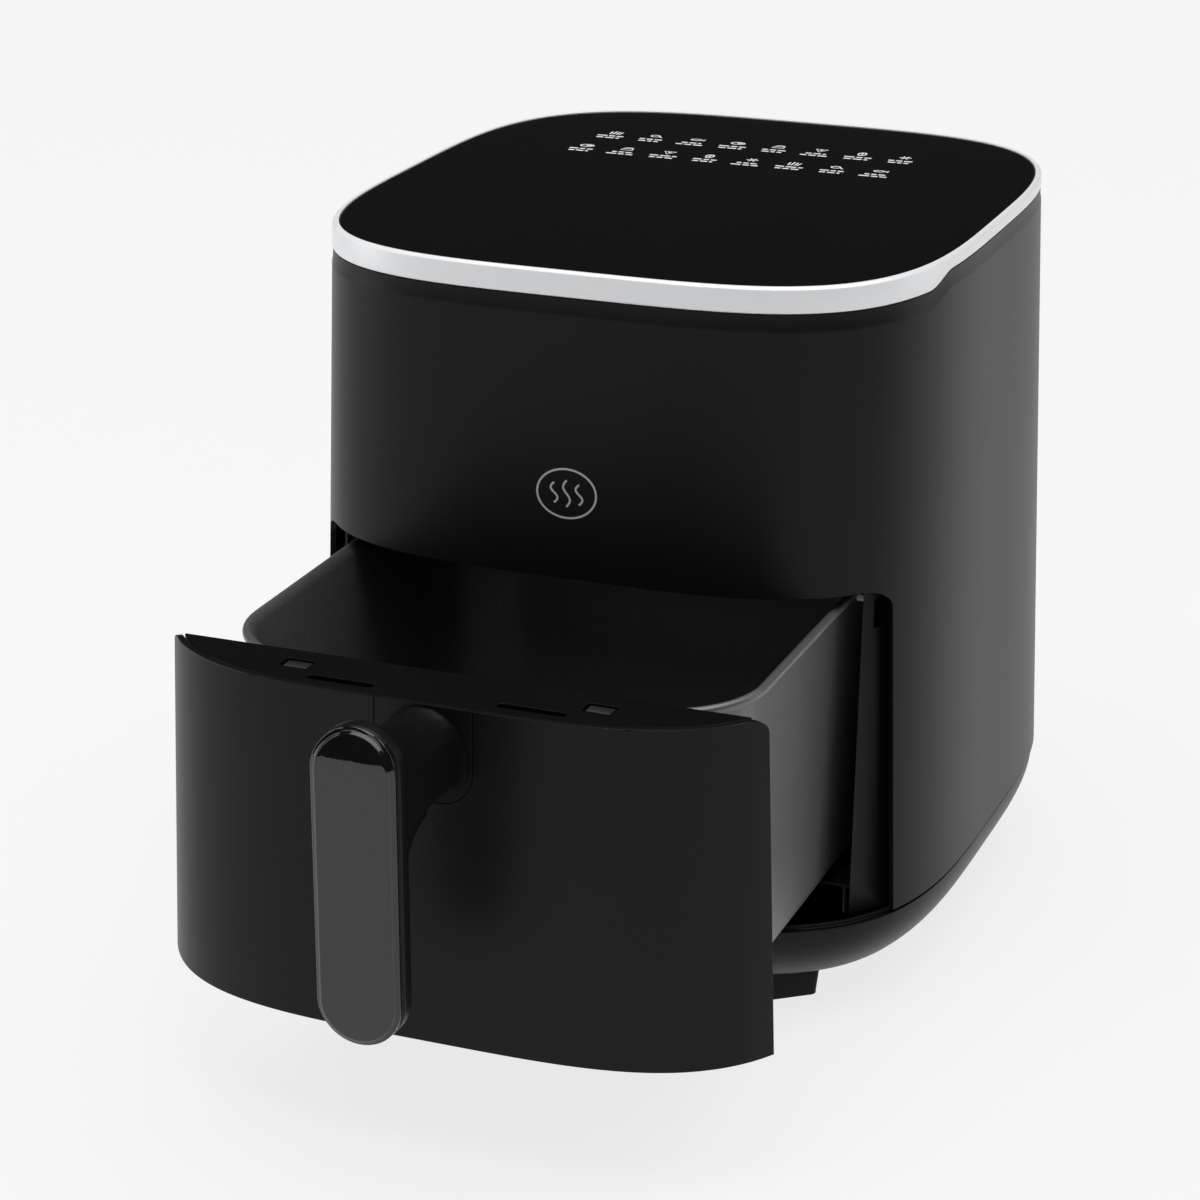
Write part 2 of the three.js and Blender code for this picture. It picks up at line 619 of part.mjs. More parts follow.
function handleScrew([x, z]) {
  return join(cylinder("y", 3.8, [-146.2, -143.6], [x, z], 12), cylinder("y", 1.8, [-158, -146], [x, z], 12));
}

// ---- Assembly -----------------------------------------------------------------------------------
function piece(group, name, solid, finish) {
  const mesh = new THREE.Mesh(toGeometry(solid), finish);
  mesh.name = name;
  group.add(mesh);
}

const airFryer = new THREE.Group();
const housing = new THREE.Group();
const drawer = new THREE.Group();
airFryer.add(housing, drawer);
drawer.position.y = -DRAWER_OUT;
airFryer.position.y = -(GLAND_REAR + CAP_FRONT - DRAWER_OUT) / 2;

piece(housing, "body_shell", bodyShell(), matteBlack);
piece(housing, "trim_ring", trimRing(), satinSilver);
piece(housing, "control_glass", controlGlass(), panelGlass);
piece(housing, "top_frame", topFrame(), frameBlack);
piece(housing, "touch_board", touchBoard(), boardGreen);
piece(housing, "power_board", powerBoard(), boardGreen);
piece(housing, "plinth", plinth(), matteBlack);
const corners = { front_left: [-1, -1], front_right: [1, -1], rear_left: [-1, 1], rear_right: [1, 1] };
for (const [corner, [sx, sy]] of Object.entries(corners)) {
  piece(housing, `foot_${corner}`, foot([sx * FOOT_X, sy * FOOT_Y]), rubberBlack);
}
screwPlaces().forEach((place, i) => piece(housing, `plinth_screw_${i + 1}`, plinthScrew(place), brightSteel));
piece(housing, "mouth_frame", mouthFrame(), frameBlack);
piece(housing, "chamber_liner", chamberLiner(), zincSheet);
piece(housing, "rail_left", rail(-1), zincSheet);
piece(housing, "rail_right", rail(1), zincSheet);
piece(housing, "fan_shroud", fanShroud(), zincSheet);
piece(housing, "heater_coil", heaterCoil(), darkSteel);
piece(housing, "heater_guard", heaterGuard(), brightSteel);
piece(housing, "exhaust_duct", exhaustDuct(), zincSheet);
piece(housing, "rear_grille", rearGrille(), frameBlack);
piece(housing, "motor_bracket", motorBracket(), zincSheet);
piece(housing, "motor_housing", motorHousing(), darkSteel);
piece(housing, "heat_shield", heatShield(), zincSheet);
piece(housing, "temperature_probe", temperatureProbe(), brightSteel);
piece(housing, "thermal_fuse", thermalFuse(), heatResin);
piece(housing, "drawer_switch", drawerSwitch(), frameBlack);
piece(housing, "switch_plunger", switchPlunger(), heatResin);
piece(housing, "terminal_block", terminalBlock(), heatResin);
piece(housing, "inner_lead", innerLead(), rubberBlack);
piece(housing, "cable_gland", cableGland(), frameBlack);
piece(housing, "motor_shaft", motorShaft(), brightSteel);
piece(housing, "convection_fan", convectionFan(), zincSheet);
piece(housing, "cooling_fan", coolingFan(), frameBlack);

piece(drawer, "drawer_front", drawerFront(), matteBlack);
piece(drawer, "handle_mount", handleMount(), matteBlack);
piece(drawer, "inner_panel", innerPanel(), frameBlack);
piece(drawer, "top_cover", topCover(), frameBlack);
piece(drawer, "pan_clip_left", panClip(-1), brightSteel);
piece(drawer, "pan_clip_right", panClip(1), brightSteel);
piece(drawer, "pan", pan(), nonStick);
piece(drawer, "crisper_plate", crisperPlate(), nonStick);
for (const [corner, sides] of Object.entries(corners)) {
  piece(drawer, `bumper_${corner}`, plateBumper(sides), rubberBlack);
}
piece(drawer, "handle_body", handleBody(), matteBlack);
piece(drawer, "handle_cap", handleCap(), pianoBlack);
handleScrewPlaces().forEach((place, i) => piece(drawer, `handle_screw_${i + 1}`, handleScrew(place), brightSteel));

export default airFryer;
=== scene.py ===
# %% [markdown]
# # A drawer air fryer
# The machine is a black rounded-square housing on a bowl-shaped foot, with a pan that slides out of its
# front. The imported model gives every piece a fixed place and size. This file keeps those places and makes
# the looks: smooth walls, soft edges, real openings, and a finish for each material.

# %% Load the fixed frame
import json
import math
import bmesh
import bpy
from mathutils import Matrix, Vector


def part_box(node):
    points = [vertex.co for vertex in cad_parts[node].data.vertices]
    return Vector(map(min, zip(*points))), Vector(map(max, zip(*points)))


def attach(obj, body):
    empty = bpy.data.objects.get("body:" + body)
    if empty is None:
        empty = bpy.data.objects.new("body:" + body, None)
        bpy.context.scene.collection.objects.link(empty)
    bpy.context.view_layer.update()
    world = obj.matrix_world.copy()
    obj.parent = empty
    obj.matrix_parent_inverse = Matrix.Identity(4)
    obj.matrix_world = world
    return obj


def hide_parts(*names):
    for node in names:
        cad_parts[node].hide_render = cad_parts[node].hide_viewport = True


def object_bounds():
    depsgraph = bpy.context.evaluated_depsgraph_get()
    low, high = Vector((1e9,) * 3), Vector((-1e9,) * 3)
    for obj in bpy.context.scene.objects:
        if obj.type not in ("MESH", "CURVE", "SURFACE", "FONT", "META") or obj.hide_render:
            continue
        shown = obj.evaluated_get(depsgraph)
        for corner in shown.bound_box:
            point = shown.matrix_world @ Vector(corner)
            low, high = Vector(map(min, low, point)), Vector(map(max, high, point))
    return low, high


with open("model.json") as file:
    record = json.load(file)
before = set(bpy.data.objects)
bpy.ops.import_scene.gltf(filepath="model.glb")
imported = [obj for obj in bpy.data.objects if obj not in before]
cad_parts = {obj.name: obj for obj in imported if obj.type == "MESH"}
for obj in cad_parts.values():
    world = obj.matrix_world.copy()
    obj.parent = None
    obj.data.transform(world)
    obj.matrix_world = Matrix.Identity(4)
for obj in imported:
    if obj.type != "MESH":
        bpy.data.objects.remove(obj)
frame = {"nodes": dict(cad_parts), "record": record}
MM = 0.001
cad_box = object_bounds()
print("model box in mm:", [[round(v / MM, 1) for v in corner] for corner in cad_box])

# %% [markdown]
# ## The camera
# A long lens from a few steps away keeps the walls nearly parallel, as a catalogue picture does. The camera
# stands to the right of the front and looks down a little. It is placed by an aim point on the machine, two
# angles and a distance, because those are easier to think about than a position and a rotation.

# %% Stand the camera
AZIMUTH = math.radians(21.6)
ELEVATION = math.radians(20.5)
CAMERA_DISTANCE = 1479 * MM
LENS = 100.8
AIM_OFFSET = Vector((-26.9, -45.8, -17.6)) * MM  # from the housing's middle towards the open drawer


def stand_camera():
    """Makes the camera, looking at a point between the housing's middle and the drawer."""
    glass_low, glass_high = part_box("control_glass")
    middle = (glass_low + glass_high) / 2
    aim = Vector((middle.x, middle.y, cad_box[1].z / 2)) + AIM_OFFSET
    back = Vector((
        math.sin(AZIMUTH) * math.cos(ELEVATION),
        -math.cos(AZIMUTH) * math.cos(ELEVATION),
        math.sin(ELEVATION),
    ))
    camera = bpy.data.objects.new("camera", bpy.data.cameras.new("camera"))
    bpy.context.scene.collection.objects.link(camera)
    camera.data.lens = LENS
    camera.location = aim + back * CAMERA_DISTANCE
    camera.rotation_mode = "QUATERNION"
    camera.rotation_quaternion = (-back).to_track_quat("-Z", "Y")
    bpy.context.scene.camera = camera
    return camera


camera = stand_camera()
print("camera at", [round(v, 3) for v in camera.location])

# %% [markdown]
# ## The housing's outline
# Seen from above, the housing is a squircle: a rounded square whose sides never go quite flat. One formula
# gives its outline at any height, since the walls lean out a little on the way down. Most of the large
# pieces follow that same wall, so the formula comes first and every piece borrows it.

# %% The wall formula
SQUIRCLE = 3.7
DRAFT = 0.03
GLASS_INSET = 2.75 * MM
WALL = 2.6 * MM

glass_low, glass_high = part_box("control_glass")
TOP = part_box("trim_ring")[1].z
SHELL_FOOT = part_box("body_shell")[0].z
CENTRE = (glass_low + glass_high) / 2
HALF_X = (glass_high.x - glass_low.x) / 2 + GLASS_INSET - DRAFT * (TOP - glass_low.z)
HALF_Y = (glass_high.y - glass_low.y) / 2 + GLASS_INSET - DRAFT * (TOP - glass_low.z)


def halves(z, inset):
    """Half the housing's width and depth at a height, drawn in by an inset."""
    lean = DRAFT * (TOP - z) - inset
    return HALF_X + lean, HALF_Y + lean


def wall_point(angle, z, inset=0.0, shift_y=0.0):
    """A point on the housing's wall, at an angle from +X and a height."""
    half_x, half_y = halves(z, inset)
    c, s = math.cos(angle), math.sin(angle)
    reach = (abs(c / half_x) ** SQUIRCLE + abs(s / half_y) ** SQUIRCLE) ** (-1 / SQUIRCLE)
    return (CENTRE.x + reach * c, CENTRE.y + reach * s + shift_y, z)


def wall_angle(x, z, inset=0.0, front=True):
    """The angle at which the wall's front or back has that x."""
    half_x, half_y = halves(z, inset)
    y = half_y * (1 - abs(x / half_x) ** SQUIRCLE) ** (1 / SQUIRCLE)
    return math.atan2(-y if front else y, x)


def front_point(x, z, inset=0.0, shift_y=0.0):
    """The point of the housing's front wall at that x and height."""
    return wall_point(wall_angle(x, z, inset), z, inset, shift_y)


DRAWER_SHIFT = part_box("handle_mount")[0].y - front_point(0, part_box("handle_mount")[0].z)[1]
print("housing top in mm:", round(2 * HALF_X / MM, 1), "x", round(2 * HALF_Y / MM, 1))
print("drawer stands", round(-DRAWER_SHIFT / MM, 1), "mm open")

# %% [markdown]
# ## Making meshes from rows of points
# A wall is easiest to make as a net: rows of points, one above the other, with a quad between neighbours.
# Openings are quads left out, so their edges follow the net and stay clean. The net then gets its thickness
# from Solidify and its soft edges from Bevel, as a moulded part has.

# %% Net and finishing helpers
def net_faces(rows, columns, round_way=False, keep=None):
    """Quads between rows of points, with keep(row, column) saying which ones to make."""
    faces = []
    for row in range(rows - 1):
        for column in range(columns if round_way else columns - 1):
            if keep and not keep(row, column):
                continue
            beside = (column + 1) % columns
            low, high = row * columns, (row + 1) * columns
            faces.append((low + column, low + beside, high + beside, high + column))
    return faces


def make_mesh(name, points, faces, weld=1e-6):
    """An object of these points and faces, with doubles merged and faces turned outwards."""
    mesh = bpy.data.meshes.new(name)
    mesh.from_pydata([tuple(p) for p in points], [], faces)
    edit = bmesh.new()
    edit.from_mesh(mesh)
    bmesh.ops.remove_doubles(edit, verts=edit.verts, dist=weld)
    loose = [v for v in edit.verts if not v.link_faces]
    bmesh.ops.delete(edit, geom=loose, context="VERTS")
    bmesh.ops.recalc_face_normals(edit, faces=edit.faces)
    edit.to_mesh(mesh)
    edit.free()
    made = bpy.data.objects.new(name, mesh)
    bpy.context.scene.collection.objects.link(made)
    return made


def loft(name, sections):
    """A closed solid through sections with equally many points, with a flat cap on each end."""
    count = len(sections[0])
    points = [p for section in sections for p in section]
    faces = net_faces(len(sections), count, True)
    faces.append(tuple(range(count)))
    faces.append(tuple(range(len(points) - count, len(points))))
    return make_mesh(name, points, faces)


def thicken(piece, thickness, offset=-1.0):
    """Gives a skin its wall: inwards by default, both ways with an offset of 0."""
    solidify = piece.modifiers.new("wall", "SOLIDIFY")
    solidify.thickness = thickness
    solidify.offset = offset
    solidify.use_even_offset = True
    return piece


def soften(piece, width, angle=35, segments=3):
    """Rounds the edges that turn by more than an angle, and shades the rest smooth."""
    bevel = piece.modifiers.new("soft_edges", "BEVEL")
    bevel.width = width
    bevel.segments = segments
    bevel.limit_method = "ANGLE"
    bevel.angle_limit = math.radians(angle)
    bevel.harden_normals = True
    piece.data.shade_smooth()
    return piece


def settle(piece):
    """Turns a piece and its modifiers into one plain mesh."""
    graph = bpy.context.evaluated_depsgraph_get()
    mesh = bpy.data.meshes.new_from_object(piece.evaluated_get(graph))
    piece.modifiers.clear()
    piece.data = mesh
    return piece


def place(piece, body, finish, replaces=()):
    """Gives a piece its finish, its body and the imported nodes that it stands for."""
    piece.data.materials.clear()
    piece.data.materials.append(finish)
    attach(piece, body)
    if replaces:
        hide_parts(*replaces)
    return piece


def softened_copy(node, name, width, angle=30):
    """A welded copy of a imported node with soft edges, for pieces whose shape is already right."""
    piece = bpy.data.objects.new(name, frame["nodes"][node].data.copy())
    bpy.context.scene.collection.objects.link(piece)
    edit = bmesh.new()
    edit.from_mesh(piece.data)
    bmesh.ops.remove_doubles(edit, verts=edit.verts, dist=2e-6)
    bmesh.ops.dissolve_limit(edit, angle_limit=math.radians(0.6), verts=edit.verts, edges=edit.edges)
    edit.to_mesh(piece.data)
    edit.free()
    return soften(piece, width, angle, 2)


# %% [markdown]
# ## Writing materials as sums
# Shader maths drawn as boxes and wires is hard to read. A small class wraps a socket so that `mask * 0.2 +
# 0.4` adds the Math nodes by itself. Every other node comes from one method, which sets the node's own
# settings first and then its values or links.

# %% Shader writing helpers
class Signal:
    """A shader socket that takes part in sums."""

    def __init__(self, recipe, socket):
        self.recipe = recipe
        self.socket = socket

    def _sum(self, operation, first, second):
        node = self.recipe.node("ShaderNodeMath", {"operation": operation}, {0: first, 1: second})
        return node.out(0)

    def __add__(self, other):
        return self._sum("ADD", self, other)

    def __mul__(self, other):
        return self._sum("MULTIPLY", self, other)

    def __sub__(self, other):
        return self._sum("SUBTRACT", self, other)

    def __rsub__(self, other):
        return self._sum("SUBTRACT", other, self)

    def __gt__(self, other):
        return self._sum("GREATER_THAN", self, other)

    __radd__, __rmul__ = __add__, __mul__


class Made:
    """A node that a recipe has made."""

    def __init__(self, recipe, node):
        self.recipe = recipe
        self.node = node

    def out(self, key):
        """One of its outputs, by name or by number."""
        return Signal(self.recipe, self.node.outputs[key])


class Recipe:
    """A material being written, ending in one Principled shader."""

    def __init__(self, name):
        self.material = bpy.data.materials.new(name)
        self.material.use_nodes = True
        self.tree = self.material.node_tree
        self.tree.nodes.clear()
        self.where = self.node("ShaderNodeTexCoord").out("Object")

    def node(self, kind, settings=None, values=None):
        """Adds a node: first its own settings, then a value or a link for each input."""
        made = self.tree.nodes.new(kind)
        for key, value in (settings or {}).items():
            setattr(made, key, value)
        for key, value in (values or {}).items():
            if isinstance(value, Signal):
                self.tree.links.new(value.socket, made.inputs[key])
            else:
                made.inputs[key].default_value = value
        return Made(self, made)

    def stretched(self, scale):
        """Object coordinates, stretched, for grain that runs one way."""
        return self.node("ShaderNodeMapping", None, {"Vector": self.where, "Scale": scale}).out(0)

    def noise(self, scale, detail=2.0, roughness=0.5, where=None):
        """Cloudy values from 0 to 1."""
        values = {"Vector": where or self.where, "Scale": scale, "Detail": detail, "Roughness": roughness}
        return self.node("ShaderNodeTexNoise", {"noise_dimensions": "3D"}, values).out("Fac")

    def cells(self, scale, output="Distance", where=None):
        """Irregular cells: the distance from each cell's middle, or a colour for each cell."""
        values = {"Vector": where or self.where, "Scale": scale}
        return self.node("ShaderNodeTexVoronoi", None, values).out(output)

    def between(self, mask, first, second):
        """A colour between two others, by a mask. A Mix node has its colours at sockets 6, 7 and, out, 2."""
        values = {0: mask, 6: (*first, 1), 7: (*second, 1)}
        return self.node("ShaderNodeMix", {"data_type": "RGBA"}, values).out(2)

    def bump(self, height, depth):
        """Small relief whose peaks stand that depth above its hollows."""
        values = {"Height": height, "Distance": depth, "Strength": 1.0}
        return self.node("ShaderNodeBump", None, values).out("Normal")

    def finish(self, **sockets):
        """Ends the material: each keyword is a socket of the Principled shader, with _ for a space."""
        values = {name.replace("_", " "): value for name, value in sockets.items()}
        shader = self.node("ShaderNodeBsdfPrincipled", None, values)
        self.node("ShaderNodeOutputMaterial", None, {"Surface": shader.out(0)})
        return self.material


# %% [markdown]
# ## Black mouldings
# The shell is injection moulded in black plastic, and its mould was eroded with sparks. That leaves a fine,
# even pebble, which spreads a reflection into a soft sheen. A fine noise gives the pebble, and a slow one
# keeps a large wall from looking painted on.

# %% Plastic finishes
MEAN_VARIATION = 0.065  # half of what the two masks add to a moulding's roughness


def grey(level):
    """A neutral colour."""
    return (level, level, level)


def moulded(name, dark, light, rough, ior, pebble=1700.0, depth=0.03 * MM):
    """Black plastic with a spark-eroded pebble of that scale and depth."""
    recipe = Recipe(name)
    slow = recipe.noise(11.0, 3.0)
    fine = recipe.noise(pebble, 2.0, 0.6)
    fleck = recipe.noise(420.0, 4.0, 0.65)
    return recipe.finish(
        Base_Color=recipe.between(slow * 0.6 + fleck * 0.4, dark, light),
        Roughness=slow * 0.05 + fine * 0.08 + (rough - MEAN_VARIATION),
        Normal=recipe.bump(fine + fleck * 0.6, depth),
        IOR=ior,
    )


def polished_black(name):
    """Piano-black plastic: deep and clear, with the slight waves that polished mouldings keep."""
    recipe = Recipe(name)
    waves = recipe.noise(38.0, 1.0, 0.3)
    haze = recipe.noise(160.0, 5.0, 0.7)
    return recipe.finish(
        Base_Color=recipe.between(haze, (0.003, 0.003, 0.0033), (0.006, 0.006, 0.0065)),
        Roughness=haze * 0.03 + 0.02,
        Normal=recipe.bump(waves, 0.01 * MM),
        IOR=1.6,
    )


def printed_glass():
    """The touch top: dark glass whose print lies under it, with a faint haze from wiping."""
    recipe = Recipe("panel_glass")
    haze = recipe.noise(14.0, 6.0, 0.6, recipe.stretched((1.0, 0.35, 1.0)))
    return recipe.finish(
        Base_Color=recipe.between(haze, (0.0014, 0.0012, 0.0013), (0.0030, 0.0027, 0.0028)),
        Roughness=haze * 0.06 + 0.1,
        IOR=1.27,
    )


def soft_rubber(name, dark, light):
    """Rubber and silicone: dull, dusty and slightly rough to the touch."""
    recipe = Recipe(name)
    dust = recipe.noise(90.0, 6.0, 0.7)
    fine = recipe.noise(1400.0, 2.0)
    return recipe.finish(
        Base_Color=recipe.between(dust, dark, light),
        Roughness=dust * 0.12 + 0.58,
        Normal=recipe.bump(fine + dust * 0.4, 0.05 * MM),
        IOR=1.27,
    )


def cream_resin():
    """The heat-proof resin of sockets and connectors."""
    recipe = Recipe("heat_resin")
    cloud = recipe.noise(60.0, 4.0)
    fine = recipe.noise(900.0, 2.0)
    return recipe.finish(
        Base_Color=recipe.between(cloud, (0.70, 0.65, 0.52), (0.84, 0.80, 0.69)),
        Roughness=cloud * 0.12 + 0.5,
        Normal=recipe.bump(fine, 0.03 * MM),
    )


def circuit_green():
    """A lacquered board: green, with copper tracks showing as slightly lighter bands."""
    recipe = Recipe("board_green")
    tracks = recipe.cells(130.0, "Distance", recipe.stretched((1.0, 2.2, 0.2))) > 0.62
    cloud = recipe.noise(45.0, 3.0)
    return recipe.finish(
        Base_Color=recipe.between(tracks * 0.8 + cloud * 0.2, (0.010, 0.070, 0.032), (0.028, 0.150, 0.070)),
        Roughness=cloud * 0.1 + 0.3,
        Normal=recipe.bump(tracks, 0.05 * MM),
    )


SHELL_BLACK = moulded("shell_black", (0.0032, 0.0032, 0.0034), (0.0050, 0.0050, 0.0053), 0.38, 1.27)
FRAME_BLACK = moulded(
    "frame_black",
    (0.0022, 0.0022, 0.0023),
    (0.0034, 0.0034, 0.0036),
    0.36,
    1.22,
    2300.0,
    0.02 * MM,
)
PIANO_BLACK = polished_black("piano_black")
PANEL_GLASS = printed_glass()
RUBBER_BLACK = soft_rubber("rubber_black", grey(0.0035), grey(0.0075))
HEAT_RESIN = cream_resin()
BOARD_GREEN = circuit_green()
print("materials after the plastics:", len(bpy.data.materials))

# %% [markdown]
# ## Metals and coatings
# The ring is plastic sprayed with satin silver, so it has fine flakes and a soft highlight. The pan is
# pressed steel under a dark non-stick coat, which is slightly speckled and has the dimples of sprayed
# paint. Inner sheet metal is zinc plated and shows crystals. Inside the chamber it gets a much darker copy,
# which is painted shade. Bright steel is brushed along one way. The inks are here too, because they are
# as simple as a paint.

# %% Metal finishes
def satin_silver():
    """Silver lacquer on plastic: pale, with fine flakes, and only a little metallic."""
    recipe = Recipe("silver_trim")
    flakes = recipe.cells(2600.0, "Distance")
    cloud = recipe.noise(24.0, 2.0)
    return recipe.finish(
        Base_Color=recipe.between(flakes, (0.86, 0.87, 0.89), (0.95, 0.96, 0.97)),
        Metallic=0.1,
        Roughness=cloud * 0.06 + flakes * 0.08 + 0.28,
        Normal=recipe.bump(flakes, 0.006 * MM),
    )


def non_stick():
    """The dark coat of the pan and its plate: speckled, dimpled, and faintly scuffed up and down."""
    recipe = Recipe("non_stick")
    speckle = recipe.cells(900.0, "Distance")
    dimples = recipe.noise(520.0, 3.0, 0.55)
    scuffs = recipe.noise(60.0, 5.0, 0.7, recipe.stretched((1.0, 1.0, 6.0)))
    return recipe.finish(
        Base_Color=recipe.between(speckle * 0.7 + scuffs * 0.3, (0.125, 0.125, 0.127), (0.195, 0.195, 0.198)),
        Metallic=0.6,
        Roughness=scuffs * 0.08 + dimples * 0.06 + 0.33,
        Normal=recipe.bump(dimples, 0.05 * MM),
    )


def sheet_metal(name, dark, light, rough, spangle=70.0):
    """Plated sheet: flat crystals, each a little lighter or darker."""
    recipe = Recipe(name)
    crystals = recipe.cells(spangle, "Color")
    shade = recipe.node("ShaderNodeSeparateColor", None, {0: crystals}).out(0)
    stain = recipe.noise(18.0, 5.0, 0.6)
    return recipe.finish(
        Base_Color=recipe.between(shade * 0.55 + stain * 0.45, dark, light),
        Metallic=0.9,
        Roughness=shade * 0.1 + stain * 0.08 + rough,
        Normal=recipe.bump(stain, 0.04 * MM),
    )


def brushed(name, dark, light, rough, along):
    """Bare metal with fine lines along one way."""
    recipe = Recipe(name)
    lines = recipe.noise(60.0, 6.0, 0.7, recipe.stretched(along))
    return recipe.finish(
        Base_Color=recipe.between(lines, dark, light),
        Metallic=1.0,
        Roughness=lines * 0.14 + rough,
        Normal=recipe.bump(lines, 0.01 * MM),
    )


def pale_print(name, shade):
    """Screen-printed ink, slightly raised and slightly uneven."""
    recipe = Recipe(name)
    ink = recipe.noise(1500.0, 3.0)
    return recipe.finish(
        Base_Color=recipe.between(ink, grey(shade * 0.9), grey(min(1.0, shade * 1.08))),
        Roughness=ink * 0.15 + 0.5,
    )


SILVER_TRIM = satin_silver()
NON_STICK = non_stick()
ZINC_SHEET = sheet_metal("zinc_sheet", (0.40, 0.41, 0.43), (0.62, 0.63, 0.65), 0.3)
# A much darker copy of the zinc for the chamber's liner: painted shade for the recess inside the chamber.
SHADED_CHAMBER_SHEET = sheet_metal("shaded_chamber_sheet", (0.035, 0.034, 0.033), (0.075, 0.072, 0.069), 0.5)
# Steel for the spring clips, far darker than bright steel: painted shade that dims their glint.
SHADED_CLIP_STEEL = sheet_metal("shaded_clip_steel", (0.030, 0.029, 0.028), (0.060, 0.058, 0.055), 0.45)
DARK_STEEL = sheet_metal("dark_steel", (0.10, 0.095, 0.09), (0.22, 0.20, 0.185), 0.42, 160.0)
BRIGHT_STEEL = brushed("bright_steel", (0.55, 0.56, 0.57), (0.72, 0.73, 0.74), 0.18, (1.0, 14.0, 14.0))
PANEL_PRINT = pale_print("panel_print", 0.9)
MARK_PRINT = pale_print("mark_print", 0.50)
print("materials after the metals and inks:", len(bpy.data.materials))

SLOT_FINISH = {
    "shell_black": SHELL_BLACK,
    "frame_black": FRAME_BLACK,
    "piano_black": PIANO_BLACK,
    "silver_trim": SILVER_TRIM,
    "panel_glass": PANEL_GLASS,
    "non_stick": NON_STICK,
    "zinc_sheet": ZINC_SHEET,
    "dark_steel": DARK_STEEL,
    "bright_steel": BRIGHT_STEEL,
    "rubber_black": RUBBER_BLACK,
    "board_green": BOARD_GREEN,
    "heat_resin": HEAT_RESIN,
}

# %% [markdown]
# ## Dressing the inner pieces
# The fan, the heater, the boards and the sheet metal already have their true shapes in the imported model.
# They stay as they are, and each takes the finish of the slot that the record names.

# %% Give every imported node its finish
for part in frame["record"]["subparts"]:
    node = frame["nodes"][part["node"]]
    node.data.materials.clear()
    node.data.materials.append(SLOT_FINISH[part["material_slot"]])
# The chamber's liner swaps its zinc for the darker copy, which is painted shade.
frame["nodes"]["chamber_liner"].data.materials[0] = SHADED_CHAMBER_SHEET

# %% [markdown]
# ## The body shell
# One tall moulding goes all the way round. The drawer's mouth is cut out of its front, with rounded upper
# corners, and a grille opening out of its back. The net has a fixed column on each side of both openings,
# so their edges are straight lines of the net. The top edge follows the ring, which steps up behind the
# front.

# %% The drawer's mouth and the ring's edge, as formulas
MOUTH_TOP = 191 * MM
MOUTH_HALF = 130.5 * MM
MOUTH_SLOPE = 0.035
MOUTH_CORNER = 9 * MM
RING_FRONT = 10.5 * MM
RING_REAR = 5.5 * MM
RING_STEP = (-86 * MM, -66 * MM)
SEAM = 0.3 * MM


def mouth_half(z, top=MOUTH_TOP, corner=MOUTH_CORNER, inset=0.0):
    """Half the mouth's width at a height, with its upper corners rounded."""
    half = MOUTH_HALF - inset - MOUTH_SLOPE * (min(z, top) - SHELL_FOOT)
    over = min(max(z - (top - corner), 0.0), corner)
    return half - corner + math.sqrt(max(corner**2 - over**2, 0.0))


def ring_edge(y):
    """The height of the ring's lower edge, from the y of a point on it."""
    start, end = RING_STEP
    t = min(max((y - CENTRE.y - start) / (end - start), 0.0), 1.0)
    lift = (RING_FRONT - RING_REAR) * t * t * (3 - 2 * t)
    return TOP - RING_FRONT + lift


# %% Weave the shell
GRILLE_LOW, GRILLE_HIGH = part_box("rear_grille")
GRILLE_HALF = GRILLE_HIGH.x + SEAM
SIDE_COLUMNS = 96
GRILLE_COLUMNS = 24
MOUTH_COLUMNS = 56
REVEAL = 0.3 * MM  # how far the shell draws in under the ring
LEVELS_BELOW_GRILLE = [62 * MM, 80 * MM, 100 * MM, 120 * MM, 140 * MM, 160 * MM]
LEVELS_BESIDE_GRILLE = [210 * MM, 236 * MM]
LEVELS_ABOVE_GRILLE = [280 * MM, 292 * MM]
# The rows that follow the ring: how far below it each one lies, and whether it is on the reveal.
RING_ROWS = ((8.0 * MM, 0), (6.8 * MM, 0), (5.6 * MM, 1), (0.3 * MM, 1))


def shell_angles(z):
    """The angles of one row's points, with a column on each side of the mouth and of the grille."""
    right = wall_angle(mouth_half(z), z)
    grille = wall_angle(GRILLE_HALF, z, front=False)
    stops = [right, grille, math.pi - grille, math.pi - right, right + 2 * math.pi]
    counts = [SIDE_COLUMNS, GRILLE_COLUMNS, SIDE_COLUMNS, MOUTH_COLUMNS]
    angles = []
    for start, end, count in zip(stops, stops[1:], counts):
        angles += [start + (end - start) * k / count for k in range(count)]
    return angles


def shell_heights():
    """Heights of the shell's level rows, closer where the mouth's corners turn."""
    corner = [MOUTH_TOP - MOUTH_CORNER * (1 - math.sin(math.pi / 2 * k / 8)) for k in range(9)]
    low = [SHELL_FOOT, *LEVELS_BELOW_GRILLE, GRILLE_LOW.z - SEAM]
    high = [*LEVELS_BESIDE_GRILLE, GRILLE_HIGH.z + SEAM, *LEVELS_ABOVE_GRILLE]
    return low + corner + high


